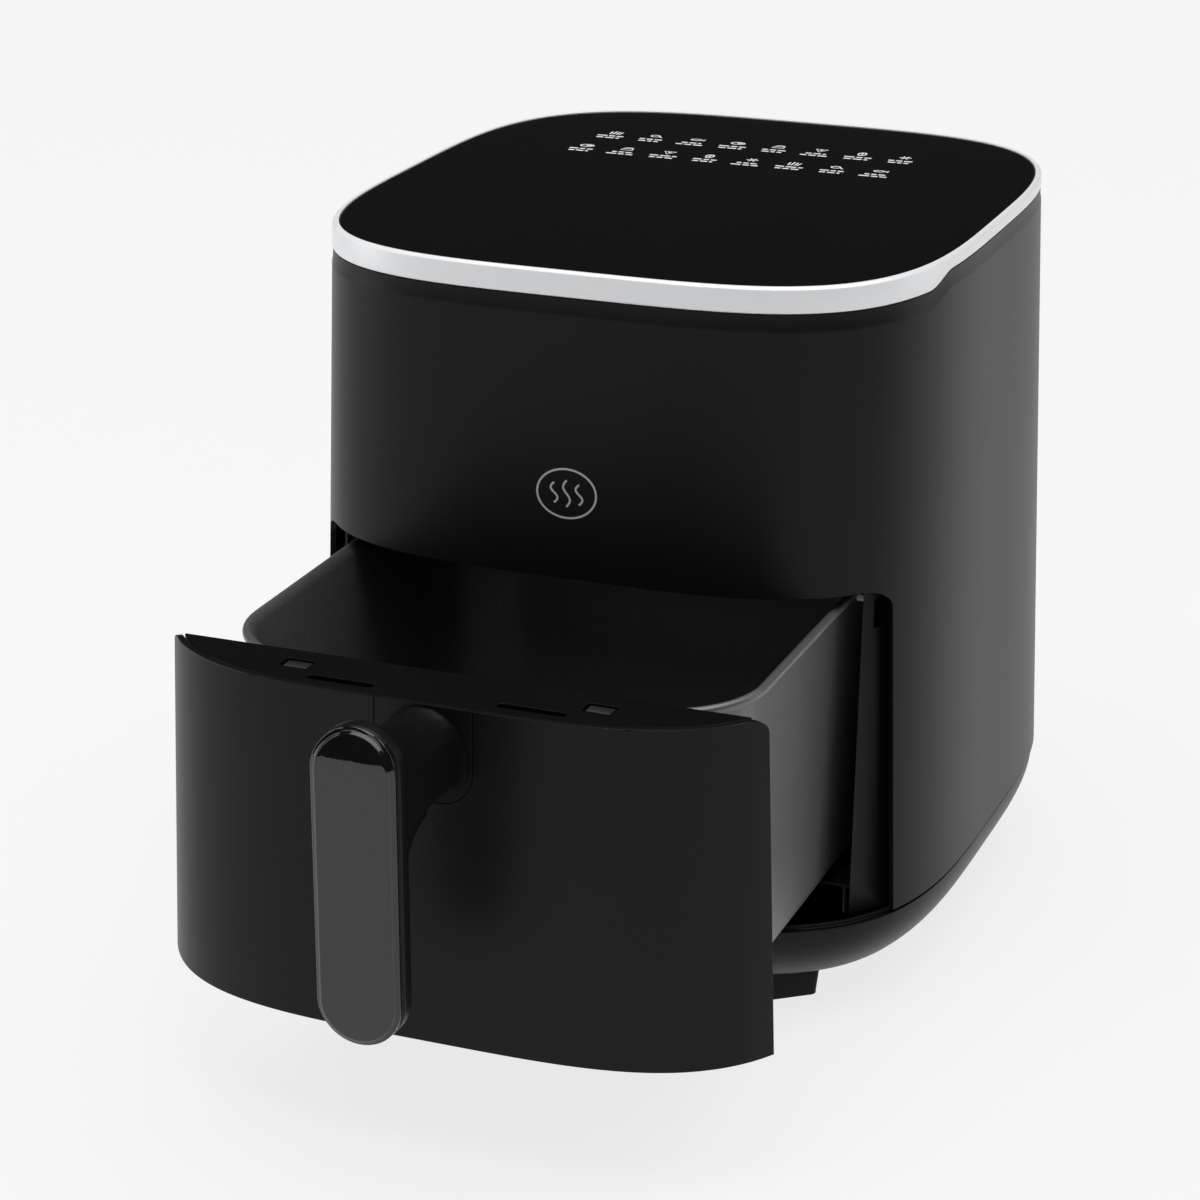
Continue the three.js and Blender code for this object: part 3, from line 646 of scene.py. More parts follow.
def weave_shell():
    """The shell's skin: level rows first, then the rows that follow the ring."""
    heights = shell_heights()
    points = [wall_point(angle, z) for z in heights for angle in shell_angles(z)]
    angles = shell_angles(heights[-1])
    for below, on_reveal in RING_ROWS:
        for angle in angles:
            edge = ring_edge(wall_point(angle, TOP)[1])
            points.append(wall_point(angle, edge - below, on_reveal * REVEAL))
    columns = len(angles)
    mouth_start = 2 * SIDE_COLUMNS + GRILLE_COLUMNS
    mouth_rows = sum(z < MOUTH_TOP - 1e-7 for z in heights)
    grille_rows = [i for i, z in enumerate(heights) if GRILLE_LOW.z - 1e-3 < z < GRILLE_HIGH.z]

    def keep(row, column):
        in_mouth = column >= mouth_start and row < mouth_rows
        in_grille = SIDE_COLUMNS <= column < SIDE_COLUMNS + GRILLE_COLUMNS and row in grille_rows
        return not (in_mouth or in_grille)

    rows = len(heights) + len(RING_ROWS)
    return make_mesh("shell_skin", points, net_faces(rows, columns, True, keep))


shell = soften(thicken(weave_shell(), WALL), 0.5 * MM)
place(shell, "housing", SHELL_BLACK, ["body_shell"])
print("shell faces before its wall:", len(shell.data.polygons))

# %% [markdown]
# ## The silver ring and the touch glass
# The ring is a closed band: one cross-section carried round the squircle. Its top edge has a narrow flat
# bevel, which catches the light as a bright line. The glass drops inside it, a fraction lower.

# %% Ring and glass
RIM_STEPS = 288
TURN = [2 * math.pi * (k + 0.5) / RIM_STEPS for k in range(RIM_STEPS)]


# The ring's cross-section, from the inside of its lower edge outwards and over the top. Each point has an
# inset, then a height above the lower edge or below the top.
RING_SECTION = (
    (2.4 * MM, "edge", 0.0),
    (0.35 * MM, "edge", 0.0),
    (0.0, "edge", 0.35 * MM),
    (0.0, "top", -1.35 * MM),
    (0.14 * MM, "top", -0.95 * MM),
    (1.0 * MM, "top", -0.1 * MM),
    (1.3 * MM, "top", 0.0),
    (2.2 * MM, "top", 0.0),
    (2.4 * MM, "top", -0.2 * MM),
)


def weave_ring():
    """The section carried round the housing. The last row is the first again, which closes the band."""
    rows = []
    for inset, datum, height in RING_SECTION:
        row = []
        for angle in TURN:
            edge = ring_edge(wall_point(angle, TOP)[1])
            start = edge if datum == "edge" else TOP
            row.append(wall_point(angle, start + height, inset))
        rows.append(row)
    rows.append(rows[0])
    points = [p for row in rows for p in row]
    return make_mesh("silver_ring", points, net_faces(len(rows), RIM_STEPS, True))


def squircle_solid(name, levels):
    """A solid with the housing's outline, through (height, inset) levels."""
    return loft(name, [[wall_point(angle, z, inset) for angle in TURN] for z, inset in levels])


ring = soften(weave_ring(), 0.12 * MM, 25, 2)
place(ring, "housing", SILVER_TRIM, ["trim_ring"])
glass_face = glass_high.z
glass = squircle_solid("touch_glass", [(glass_low.z, GLASS_INSET), (glass_face, GLASS_INSET)])
soften(glass, 0.3 * MM)
place(glass, "housing", PANEL_GLASS, ["control_glass"])
print("ring faces:", len(ring.data.polygons))

# %% [markdown]
# ## Print on the glass and on the front
# The symbols are drawn with a pen: each is a few strokes in a little square, given as points from -1 to 1.
# A stroke becomes a flat ribbon just above the surface. The captions under them are plain dashes, since a
# real caption would be lettering. The mark on the front is an oval badge with three curls of hot air.

# %% Pen strokes
PRINT_RISE = 0.06 * MM
INK_THICKNESS = 0.04 * MM
FINE_WELD = 1e-8  # strokes are so small that the usual welding distance would close their corners


def arc(cx, cy, rx, ry, start, end, steps=14):
    """Points on part of an ellipse, with angles in degrees."""
    turns = [math.radians(start + (end - start) * k / steps) for k in range(steps + 1)]
    return [(cx + rx * math.cos(t), cy + ry * math.sin(t)) for t in turns]


def ribbon(stroke, width):
    """The two sides of a stroke of that width."""
    path = [Vector((x, y)) for x, y in stroke]
    closed = (path[0] - path[-1]).length < 1e-6
    left, right = [], []
    for i, point in enumerate(path):
        before = path[i - 1] if i else (path[-2] if closed else point)
        after = path[i + 1] if i + 1 < len(path) else (path[1] if closed else point)
        along = (after - before).normalized()
        across = Vector((-along.y, along.x)) * width / 2
        left.append(point + across)
        right.append(point - across)
    return left, right


def print_strokes(name, strokes, width, lay, finish):
    """One mesh of ribbons, laid on a surface by lay(u, v)."""
    points, faces = [], []
    for stroke in strokes:
        left, right = ribbon(stroke, width)
        start = len(points)
        points += [lay(p.x, p.y) for p in left] + [lay(p.x, p.y) for p in right]
        count = len(left)
        for i in range(start, start + count - 1):
            faces.append((i, i + 1, i + count + 1, i + count))
    piece = thicken(make_mesh(name, points, faces, FINE_WELD), INK_THICKNESS, 0.0)
    return place(piece, "housing", finish)


# %% The touch panel's symbols
CHIPS = [
    [(-0.6, -0.9), (-0.7, 0.5)],
    [(-0.2, -0.9), (-0.2, 0.8)],
    [(0.25, -0.9), (0.3, 0.6)],
    [(0.6, -0.9), (0.8, 0.4)],
]
DRUMSTICK = [arc(-0.2, 0.1, 0.6, 0.5, 0, 360), [(0.4, -0.1), (0.9, -0.6)]]
FISH = [arc(-0.1, 0.0, 0.7, 0.4, 0, 360), [(0.6, 0.0), (1.0, 0.4), (1.0, -0.4), (0.6, 0.0)]]
STEAK = [arc(0.0, 0.0, 0.9, 0.6, 0, 360), arc(0.2, 0.1, 0.3, 0.2, 0, 360)]
CAKE = [
    [(-0.8, -0.6), (0.8, -0.6), (0.6, 0.2), (-0.6, 0.2), (-0.8, -0.6)],
    arc(0.0, 0.2, 0.6, 0.5, 0, 180),
]
PIZZA = [[(-0.8, 0.6), (0.8, 0.6), (0.0, -0.9), (-0.8, 0.6)], arc(0.0, 0.2, 0.15, 0.15, 0, 360)]
LEAF = [
    arc(-0.1, 0.0, 0.5, 0.8, 90, 270),
    arc(-0.1, 0.0, 0.5, 0.8, -90, 90),
    [(-0.1, -0.8), (-0.1, 0.6)],
]
FROST = [[(-0.8, 0.0), (0.8, 0.0)], [(-0.4, -0.7), (0.4, 0.7)], [(-0.4, 0.7), (0.4, -0.7)]]
SYMBOLS = [CHIPS, DRUMSTICK, FISH, STEAK, CAKE, PIZZA, LEAF, FROST]
SYMBOL_SIZE = 3.5 * MM
SYMBOL_PITCH = 19.85 * MM
SYMBOL_ROWS = ((-3.7 * MM, 92 * MM), (-6.6 * MM, 63 * MM))  # each row's middle, from that of the glass
CAPTION_HALF = 6.8 * MM
CAPTION_DROP = 6.6 * MM
CAPTION_PITCH = 3.6 * MM
WORD_GAP = 0.9 * MM
WORD_RISE = 0.42 * MM
WORD_ENDS = ((0.42, 0.70), (0.30, 0.62), (0.36, 0.78))  # where the first two dashes of a line end
PANEL_PEN = 0.75 * MM


def dashes(start, end, y, turn):
    """One caption line: three dashes of uneven length, each of two thin strokes."""
    cuts = [0.0, *WORD_ENDS[turn], 1.0]
    strokes = []
    for low, high in zip(cuts, cuts[1:]):
        left = start + (end - start) * low
        right = start + (end - start) * high - WORD_GAP
        strokes += [[(left, y + rise), (right, y + rise)] for rise in (-WORD_RISE, WORD_RISE)]
    return strokes


def captioned_symbol(x, y, row, place_in_row):
    """One symbol over its two caption lines, which get shorter and longer from one symbol to the next."""
    picture = SYMBOLS[(place_in_row + 3 * row) % len(SYMBOLS)]
    strokes = [[(x + u * SYMBOL_SIZE, y + v * SYMBOL_SIZE) for u, v in stroke] for stroke in picture]
    for line in range(2):
        line_y = y - CAPTION_DROP - line * CAPTION_PITCH
        half = CAPTION_HALF * (1.0 - 0.12 * ((place_in_row + line + row) % 3))
        strokes += dashes(x - half, x + half, line_y, (place_in_row + 2 * line) % 3)
    return strokes


def panel_strokes():
    """Two rows of symbols, the front one a little further left."""
    strokes = []
    for row, (row_x, row_y) in enumerate(SYMBOL_ROWS):
        for i in range(len(SYMBOLS)):
            x = row_x + (i - (len(SYMBOLS) - 1) / 2) * SYMBOL_PITCH
            strokes += captioned_symbol(x, row_y, row, i)
    return strokes


def on_glass(u, v):
    """A point of the print, from the middle of the glass."""
    return (CENTRE.x + u, CENTRE.y + v, glass_face + PRINT_RISE)


print_strokes("panel_print", panel_strokes(), PANEL_PEN, on_glass, PANEL_PRINT)
print("strokes on the glass:", len(panel_strokes()))

# %% The badge on the front
MARK_HEIGHT = 227 * MM
MARK_RADIUS = 10.2 * MM
MARK_WIDENING = 1.25
MARK_PEN = 0.85 * MM
CURL_PITCH = 5.4 * MM
CURL_SWING = 1.5 * MM
CURL_HEIGHTS = (8.5 * MM, 11 * MM, 8.5 * MM)
CURL_STEPS = 24


def badge_strokes():
    """An oval with three curls inside, each one wave of a sine."""
    strokes = [arc(0, 0, MARK_RADIUS * MARK_WIDENING, MARK_RADIUS, 0, 360, 64)]
    for i, height in enumerate(CURL_HEIGHTS):
        x = (i - 1) * CURL_PITCH
        turns = [k / CURL_STEPS for k in range(CURL_STEPS + 1)]
        strokes.append([(x + CURL_SWING * math.sin(2 * math.pi * t), (t - 0.5) * height) for t in turns])
    return strokes


def on_front(u, v):
    """A point of the badge, from its middle, on the front wall."""
    x, y, z = front_point(u, MARK_HEIGHT + v)
    return (x, y - PRINT_RISE, z)


print_strokes("front_mark", badge_strokes(), MARK_PEN, on_front, MARK_PRINT)
print("strokes in the badge:", len(badge_strokes()))

# %% [markdown]
# ## The plinth and the feet
# Under the shell a shallow bowl draws in towards the worktop, so the machine seems to float. Its side is
# one smooth curve that ends in a narrow chamfer, and a groove keeps a dark line between it and the shell.
# It is open inside, and its floor is flat between the feet. The feet and the screws already have their
# shapes, so they are welded copies with soft edges.

# %% Bowl and feet
PLINTH_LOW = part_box("plinth")[0].z
BOWL_TOP = SHELL_FOOT - SEAM
GROOVE = 1.5 * MM  # height of the groove under the shell
GROOVE_INSET = 3.4 * MM
FLOOR_INSET = 19 * MM  # of the bowl's flat underside
CHAMFER_INSET = 14.5 * MM
CHAMFER_HEIGHT = 2 * MM
BRIM_INSET = 1.0 * MM  # of the bowl's widest line
BOWL_ROUNDNESS = 2.1
BOWL_STEPS = 14
BOWL_WALL = 3.0 * MM
BOWL_FLOOR = 3.2 * MM


def bowl_outside():
    """Heights and insets of the bowl's outside: a chamfer, a smooth curve, and a groove under the shell."""
    low = PLINTH_LOW + CHAMFER_HEIGHT
    high = BOWL_TOP - GROOVE
    levels = [(PLINTH_LOW, FLOOR_INSET), (low, CHAMFER_INSET)]
    for k in range(1, BOWL_STEPS + 1):
        t = k / BOWL_STEPS
        drawn = BRIM_INSET + (CHAMFER_INSET - BRIM_INSET) * (1 - t) ** BOWL_ROUNDNESS
        levels.append((low + (high - low) * t, drawn))
    return levels + [(high, GROOVE_INSET), (BOWL_TOP, GROOVE_INSET)]


def bowl_levels():
    """The outside upwards, then the inside downwards to the floor."""
    outside = bowl_outside()
    inside = [(z, inset + BOWL_WALL) for z, inset in reversed(outside[2:-2])]
    brim = (BOWL_TOP, GROOVE_INSET + 1.6 * MM)
    floor = (PLINTH_LOW + BOWL_FLOOR, FLOOR_INSET + BOWL_WALL)
    return [*outside, brim, *inside, floor]


bowl = soften(squircle_solid("bowl_plinth", bowl_levels()), 0.4 * MM, 20)
place(bowl, "housing", SHELL_BLACK, ["plinth"])
CORNERS = ("front_left", "front_right", "rear_left", "rear_right")
for corner in CORNERS:
    foot = softened_copy("foot_" + corner, "rubber_foot_" + corner, 0.9 * MM)
    place(foot, "housing", RUBBER_BLACK, ["foot_" + corner])
for number in range(1, 5):
    screw = softened_copy(f"plinth_screw_{number}", f"base_screw_{number}", 0.25 * MM)
    place(screw, "housing", BRIGHT_STEEL, [f"plinth_screw_{number}"])
print("plinth levels:", len(bowl_levels()))

# %% [markdown]
# ## The mouth's frame, the rails and the gland
# These pieces have the right shapes already, but a moulded edge is never perfectly sharp. A welded copy
# with a small bevel catches a thin line of light along each edge, and that line is what makes the frame
# readable in the dark of the mouth.

# %% Soft copies of the mouldings
# Each one's node, its new name, the width of its soft edges in mm, its finish and its slot.
SOFT_COPIES = [
    ("mouth_frame", "opening_frame", 0.45, FRAME_BLACK, "frame_black"),
    ("rail_left", "slide_rail_left", 0.3, ZINC_SHEET, "zinc_sheet"),
    ("rail_right", "slide_rail_right", 0.3, ZINC_SHEET, "zinc_sheet"),
    ("cable_gland", "cord_gland", 0.5, FRAME_BLACK, "frame_black"),
]
for node, name, width, finish, slot in SOFT_COPIES:
    place(softened_copy(node, name, width * MM), "housing", finish, [node])
print("soft copies on the housing:", len(SOFT_COPIES))

# %% [markdown]
# ## The rear grille
# Hot air leaves through level slats in a raised frame. One slat is modelled, bent to the wall, and Geometry
# Nodes repeats it up the opening. The count and the pitch are named inputs, so another machine could use
# the same tree.

# %% Frame of the grille
GRILLE_RISE = 0.8 * MM
SLAT_COUNT = 7
SLAT_PITCH = 12 * MM
FIRST_SLAT = GRILLE_LOW.z + 5.2 * MM
SLAT_HALF = 3.0 * MM
SLAT_REACH = 56 * MM
SLAT_COLUMNS = 28
# A slat's slanted cross-section: the height from its middle, and the inset from the wall.
SLAT_SECTION = (
    (-SLAT_HALF, 0.6 * MM),
    (-SLAT_HALF + 1.2 * MM, 0.2 * MM),
    (SLAT_HALF, 2.4 * MM),
    (SLAT_HALF - 1.0 * MM, 3.4 * MM),
)
BAND_SIDE = 7 * MM
BAND_TOP = 6 * MM
BAND_COLUMNS = 40


def spread(start, end, count):
    """Even steps from a start up to, but not at, an end."""
    return [start + (end - start) * k / count for k in range(count)]


def back_point(x, z, inset):
    """The point of the housing's back wall at that x and height."""
    return wall_point(wall_angle(x, z, inset, front=False), z, inset)


def weave_grille_frame():
    """A rectangular band round the slats, on the wall and a little proud of it."""
    outer = GRILLE_HIGH.x
    inner = outer - BAND_SIDE
    xs = sorted({*spread(-outer, outer, BAND_COLUMNS), outer, -inner, inner})
    zs = [GRILLE_LOW.z, GRILLE_LOW.z + BAND_TOP, GRILLE_HIGH.z - BAND_TOP, GRILLE_HIGH.z]
    points = [back_point(x, z, -GRILLE_RISE) for z in zs for x in xs]

    def keep(row, column):
        beside = xs[column] < -inner or xs[column + 1] > inner
        return row != 1 or beside

    return make_mesh("grille_frame", points, net_faces(len(zs), len(xs), False, keep))


def slat_mesh():
    """One slat, slanted so that dust and light stay out, bent to the wall."""
    xs = [*spread(-SLAT_REACH, SLAT_REACH, SLAT_COLUMNS), SLAT_REACH]
    section = [*SLAT_SECTION, SLAT_SECTION[0]]
    points = [back_point(x, FIRST_SLAT + rise, inset) for rise, inset in section for x in xs]
    faces = net_faces(len(section), len(xs))
    ends = (0, len(xs) - 1)
    faces += [tuple(row * len(xs) + end for row in range(len(SLAT_SECTION))) for end in ends]
    return make_mesh("slat", points, faces)


# %% Repeat the slat with Geometry Nodes
def add_socket(group, name, kind, default=None, direction="INPUT"):
    """Adds a named input or output to a tree, and gives its identifier."""
    socket = group.interface.new_socket(name=name, in_out=direction, socket_type=kind)
    if default is not None:
        socket.default_value = default
    return socket.identifier


def repeat_tree():
    """Repeats the incoming mesh along Z: a row of points, the mesh on each, made real and painted."""
    group = bpy.data.node_groups.new("repeat_up", "GeometryNodeTree")
    ids = {
        "mesh": add_socket(group, "Geometry", "NodeSocketGeometry"),
        "count": add_socket(group, "Count", "NodeSocketInt", 1),
        "pitch": add_socket(group, "Pitch", "NodeSocketFloat", 0.01),
        "lean": add_socket(group, "Lean", "NodeSocketFloat", 0.0),
        "finish": add_socket(group, "Finish", "NodeSocketMaterial"),
    }
    add_socket(group, "Geometry", "NodeSocketGeometry", None, "OUTPUT")
    nodes, links = group.nodes, group.links
    start, end = nodes.new("NodeGroupInput"), nodes.new("NodeGroupOutput")
    step = nodes.new("ShaderNodeCombineXYZ")
    line = nodes.new("GeometryNodeMeshLine")
    line.mode = "OFFSET"
    repeat = nodes.new("GeometryNodeInstanceOnPoints")
    real = nodes.new("GeometryNodeRealizeInstances")
    paint = nodes.new("GeometryNodeSetMaterial")
    links.new(start.outputs["Lean"], step.inputs["Y"])
    links.new(start.outputs["Pitch"], step.inputs["Z"])
    links.new(start.outputs["Count"], line.inputs["Count"])
    links.new(step.outputs[0], line.inputs["Offset"])
    links.new(line.outputs[0], repeat.inputs["Points"])
    links.new(start.outputs["Geometry"], repeat.inputs["Instance"])
    links.new(repeat.outputs[0], real.inputs[0])
    links.new(real.outputs[0], paint.inputs["Geometry"])
    links.new(start.outputs["Finish"], paint.inputs["Material"])
    links.new(paint.outputs[0], end.inputs[0])
    return group, ids


def apply_tree(piece, group, ids, **values):
    """Runs a tree on a piece, with its inputs set by identifier, and keeps the result as a plain mesh."""
    modifier = piece.modifiers.new("nodes", "NODES")
    modifier.node_group = group
    for name, value in values.items():
        modifier[ids[name]] = value
    return settle(piece)


repeat_up, repeat_ids = repeat_tree()
slats = apply_tree(
    slat_mesh(),
    repeat_up,
    repeat_ids,
    count=SLAT_COUNT,
    pitch=SLAT_PITCH,
    lean=-DRAFT * SLAT_PITCH,
    finish=FRAME_BLACK,
)
slats.name = "grille_slats"
place(soften(slats, 0.3 * MM), "housing", FRAME_BLACK)
grille_frame = soften(thicken(weave_grille_frame(), WALL + GRILLE_RISE), 0.5 * MM)
place(grille_frame, "housing", FRAME_BLACK, ["rear_grille"])
print("grille slats:", SLAT_COUNT)

# %% [markdown]
# ## The drawer's front and the handle's plate
# The drawer's front is the piece of wall that the mouth leaves out, so shut it lies flush with the shell.
# The handle's plate is set into its upper edge like a tongue. Both are nets on the same wall formula, moved
# out with the drawer, and the notch between them is a pair of columns that follows the tongue's round end.

# %% Panel and plate
PANEL_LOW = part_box("drawer_front")[0].z
PANEL_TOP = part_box("drawer_front")[1].z
PANEL_INSET = 2.8 * MM
PANEL_CORNER = 6 * MM
TONGUE_HALF = 20 * MM
TONGUE_LOW = 151 * MM
TONGUE_CORNER = 13 * MM
PANEL_SIDE_COLUMNS = 40
NOTCH_COLUMNS = 14
TONGUE_COLUMNS = 15
LEVEL_OVER_TONGUE_CORNER = 174 * MM
TONGUE_LEVELS = [172 * MM, 180 * MM]


def panel_half(z):
    """Half the panel's width at a height: the mouth's, less a gap."""
    return mouth_half(z, PANEL_TOP, PANEL_CORNER, PANEL_INSET)


def tongue_half(z, inset=0.0):
    """Half the handle plate's width at a height, with its lower corners rounded."""
    corner = TONGUE_CORNER - inset
    low = TONGUE_LOW + inset
    over = min(max(low + corner - z, 0.0), corner)
    return TONGUE_HALF - inset - corner + math.sqrt(max(corner**2 - over**2, 0.0))


def panel_heights():
    """Heights of the panel's rows, closer round the notch's corners and its own."""
    curve = [TONGUE_LOW + TONGUE_CORNER * (1 - math.cos(math.pi / 2 * k / 8)) for k in range(9)]
    corner = [PANEL_TOP - PANEL_CORNER * (1 - math.sin(math.pi / 2 * k / 6)) for k in range(7)]
    return spread(PANEL_LOW, TONGUE_LOW, 6) + curve + [LEVEL_OVER_TONGUE_CORNER] + corner


def weave_panel():
    """The whole panel, less the quads where the tongue goes."""
    points = []
    heights = panel_heights()
    for z in heights:
        half, notch = panel_half(z), tongue_half(z)
        xs = spread(-half, -notch, PANEL_SIDE_COLUMNS) + spread(-notch, notch, NOTCH_COLUMNS)
        xs += spread(notch, half, PANEL_SIDE_COLUMNS) + [half]
        points += [front_point(x, z, 0.0, DRAWER_SHIFT) for x in xs]
    columns = 2 * PANEL_SIDE_COLUMNS + NOTCH_COLUMNS + 1

    def keep(row, column):
        in_notch = PANEL_SIDE_COLUMNS <= column < PANEL_SIDE_COLUMNS + NOTCH_COLUMNS
        return heights[row] < TONGUE_LOW - 1e-7 or not in_notch

    return make_mesh("panel_front", points, net_faces(len(heights), columns, False, keep))


def weave_tongue():
    """The handle's plate, a seam smaller than its notch."""
    corner = TONGUE_CORNER - SEAM
    curve = [TONGUE_LOW + SEAM + corner * (1 - math.cos(math.pi / 2 * k / 8)) for k in range(9)]
    heights = curve + TONGUE_LEVELS + [PANEL_TOP]
    points = []
    for z in heights:
        half = tongue_half(z, SEAM)
        points += [front_point(x, z, 0.0, DRAWER_SHIFT) for x in spread(-half, half, TONGUE_COLUMNS) + [half]]
    return make_mesh("handle_plate", points, net_faces(len(heights), TONGUE_COLUMNS + 1))


panel = soften(thicken(weave_panel(), WALL), 0.7 * MM)
place(panel, "drawer", SHELL_BLACK, ["drawer_front"])
tongue = soften(thicken(weave_tongue(), WALL), 0.3 * MM)
place(tongue, "drawer", SHELL_BLACK, ["handle_mount"])
print("panel is", round(2 * panel_half(PANEL_LOW) / MM, 1), "mm wide at its foot")

# %% [markdown]
# ## The drawer's top cover
# A flat strip hides the gap between the front and the pan. It has two long slots, for the air, and a notch
# over each spring clip. A filled 2D curve is the natural tool: one outline, with a closed curve inside it
# for each hole, and a bevel for the edges. It is turned into a mesh before it is lifted to its height.

# %% Cover and clips
COVER_LOW, COVER_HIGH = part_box("top_cover")
COVER_INSET = 3.1 * MM  # behind the drawer front's outer face
COVER_BEVEL = 0.3 * MM
SLOT_X = 39 * MM
SLOT_Y = -140.4 * MM  # from the housing's middle, with the drawer shut
SLOT_HALVES = (13.8 * MM, 2 * MM)
SLOT_CORNER = 1.8 * MM
NOTCH_X = 62 * MM
NOTCH_Y = -130 * MM
NOTCH_HALVES = (6 * MM, 4 * MM)
NOTCH_CORNER = 1 * MM
QUADRANTS = ((1, 1, 0), (-1, 1, 90), (-1, -1, 180), (1, -1, 270))  # the side in x and y, and the first angle


def rounded_outline(middle, halves_xy, radius, steps):
    """A rounded rectangle, anticlockwise, with that many steps in each corner."""
    outline = []
    for side_x, side_y, start in QUADRANTS:
        corner_x = middle[0] + side_x * (halves_xy[0] - radius)
        corner_y = middle[1] + side_y * (halves_xy[1] - radius)
        for k in range(steps + 1):
            t = math.radians(start + 90 * k / steps)
            outline.append((corner_x + radius * math.cos(t), corner_y + radius * math.sin(t)))
    return outline


def flat_plate(name, outlines, low, high, bevel):
    """A plate with holes between two heights, from closed outlines, the first one round the others."""
    curve = bpy.data.curves.new(name, "CURVE")
    curve.dimensions = "2D"
    curve.fill_mode = "BOTH"
    curve.extrude = (high - low) / 2 - bevel
    curve.bevel_depth = bevel
    curve.bevel_resolution = 2
    curve.offset = -bevel
    for outline in outlines:
        spline = curve.splines.new("POLY")
        spline.points.add(len(outline) - 1)
        for point, (x, y) in zip(spline.points, outline):
            point.co = (x, y, 0, 1)
        spline.use_cyclic_u = True
    drawn = bpy.data.objects.new(name + "_curve", curve)
    bpy.context.scene.collection.objects.link(drawn)
    graph = bpy.context.evaluated_depsgraph_get()
    mesh = bpy.data.meshes.new_from_object(drawn.evaluated_get(graph))
    bpy.data.objects.remove(drawn)
    points = [(v.co.x, v.co.y, v.co.z + (low + high) / 2) for v in mesh.vertices]
    faces = [tuple(face.vertices) for face in mesh.polygons]
    return make_mesh(name, points, faces, 1e-7)


def cover_outlines():
    """The strip's own outline, bent to the drawer's front, then its slots and its notches."""
    half = (COVER_HIGH.x - COVER_LOW.x) / 2
    xs = [*spread(-half, half, 80), half]
    front = [front_point(x, COVER_LOW.z, COVER_INSET, DRAWER_SHIFT)[:2] for x in xs]
    outline = [*front, (half, COVER_HIGH.y), (-half, COVER_HIGH.y)]
    middle_y = CENTRE.y + DRAWER_SHIFT
    slots = [rounded_outline((x, middle_y + SLOT_Y), SLOT_HALVES, SLOT_CORNER, 6) for x in (-SLOT_X, SLOT_X)]
    ends = (-NOTCH_X, NOTCH_X)
    notches = [rounded_outline((x, middle_y + NOTCH_Y), NOTCH_HALVES, NOTCH_CORNER, 6) for x in ends]
    return [outline, *slots, *notches]


cover = flat_plate("slotted_cover", cover_outlines(), COVER_LOW.z, COVER_HIGH.z, COVER_BEVEL)
place(cover, "drawer", FRAME_BLACK, ["top_cover"])
# The spring clips take the darkened steel, which is painted shade.
for side in ("left", "right"):
    clip = softened_copy("pan_clip_" + side, "spring_clip_" + side, 0.4 * MM)
    place(clip, "drawer", SHADED_CLIP_STEEL, ["pan_clip_" + side])
lining = softened_copy("inner_panel", "inner_lining", 0.5 * MM)
place(lining, "drawer", FRAME_BLACK, ["inner_panel"])
print("cover outlines:", len(cover_outlines()))

# %% [markdown]
# ## The pan
# The pan is pressed from one sheet: a flat floor, a generous radius, leaning walls with round corners, and
# a rim rolled outwards so that no raw edge is left. It is drawn as one cross-section carried round a
# rounded rectangle, from the middle of the underside, over the rim, to the middle of the floor.

# %% Press the pan
PAN_LOW, PAN_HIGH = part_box("pan")
PAN_CENTRE = (PAN_LOW + PAN_HIGH) / 2
PAN_DRAFT = 0.015
PAN_CORNER = 38 * MM
PAN_WALL = 1.5 * MM
PAN_RADIUS = 10 * MM  # between the floor and the walls
RIM_REACH = 4 * MM
RIM_BEAD = 1.95 * MM  # radius of the rolled edge
RIM_STEPS_ROUND = 14
WALL_TOP = PAN_HIGH.z - 3.6 * MM  # where the outside of the wall turns into the rim
LIP = PAN_HIGH.z - 3.2 * MM  # and the inside
FLOOR_RINGS = (25 * MM, 45 * MM)  # insets of the rings in the flat floor
CORNER_STEPS = 14
SIDE_STEPS = 10


def pan_ring(z, inset):
    """The pan's outline at a height, drawn in by an inset, as one ring of points."""
    taper = PAN_DRAFT * (PAN_HIGH.z - z) + inset + RIM_REACH
    half_x = (PAN_HIGH.x - PAN_LOW.x) / 2 - taper
    half_y = (PAN_HIGH.y - PAN_LOW.y) / 2 - taper
    corner = max(min(PAN_CORNER - inset, half_x, half_y), 2 * MM)
    corners = rounded_outline(PAN_CENTRE, (half_x, half_y), corner, CORNER_STEPS)
    ring = []
    for i, (x, y) in enumerate(corners):
        ring.append((x, y, z))
        if i % (CORNER_STEPS + 1) == CORNER_STEPS:
            after_x, after_y = corners[(i + 1) % len(corners)]
            for k in range(1, SIDE_STEPS):
                t = k / SIDE_STEPS
                ring.append((x + (after_x - x) * t, y + (after_y - y) * t, z))
    return ring


def bend_section(z, radius, inset):
    """A quarter round from the floor at a height to the wall at an inset, as (height, inset) points."""
    quarter = [math.pi / 2 * k / 6 for k in range(7)]
    return [(z + radius * (1 - math.cos(t)), inset + radius * (1 - math.sin(t))) for t in quarter]


def rim_section():
    """The rolled bead, from under its outside, over the top, to the inside wall."""
    turns = [math.radians(-60 - 240 * k / RIM_STEPS_ROUND) for k in range(RIM_STEPS_ROUND + 1)]
    middle_z = PAN_HIGH.z - RIM_BEAD
    middle_inset = RIM_BEAD - RIM_REACH
    return [(middle_z + RIM_BEAD * math.sin(t), middle_inset + RIM_BEAD * math.cos(t)) for t in turns]


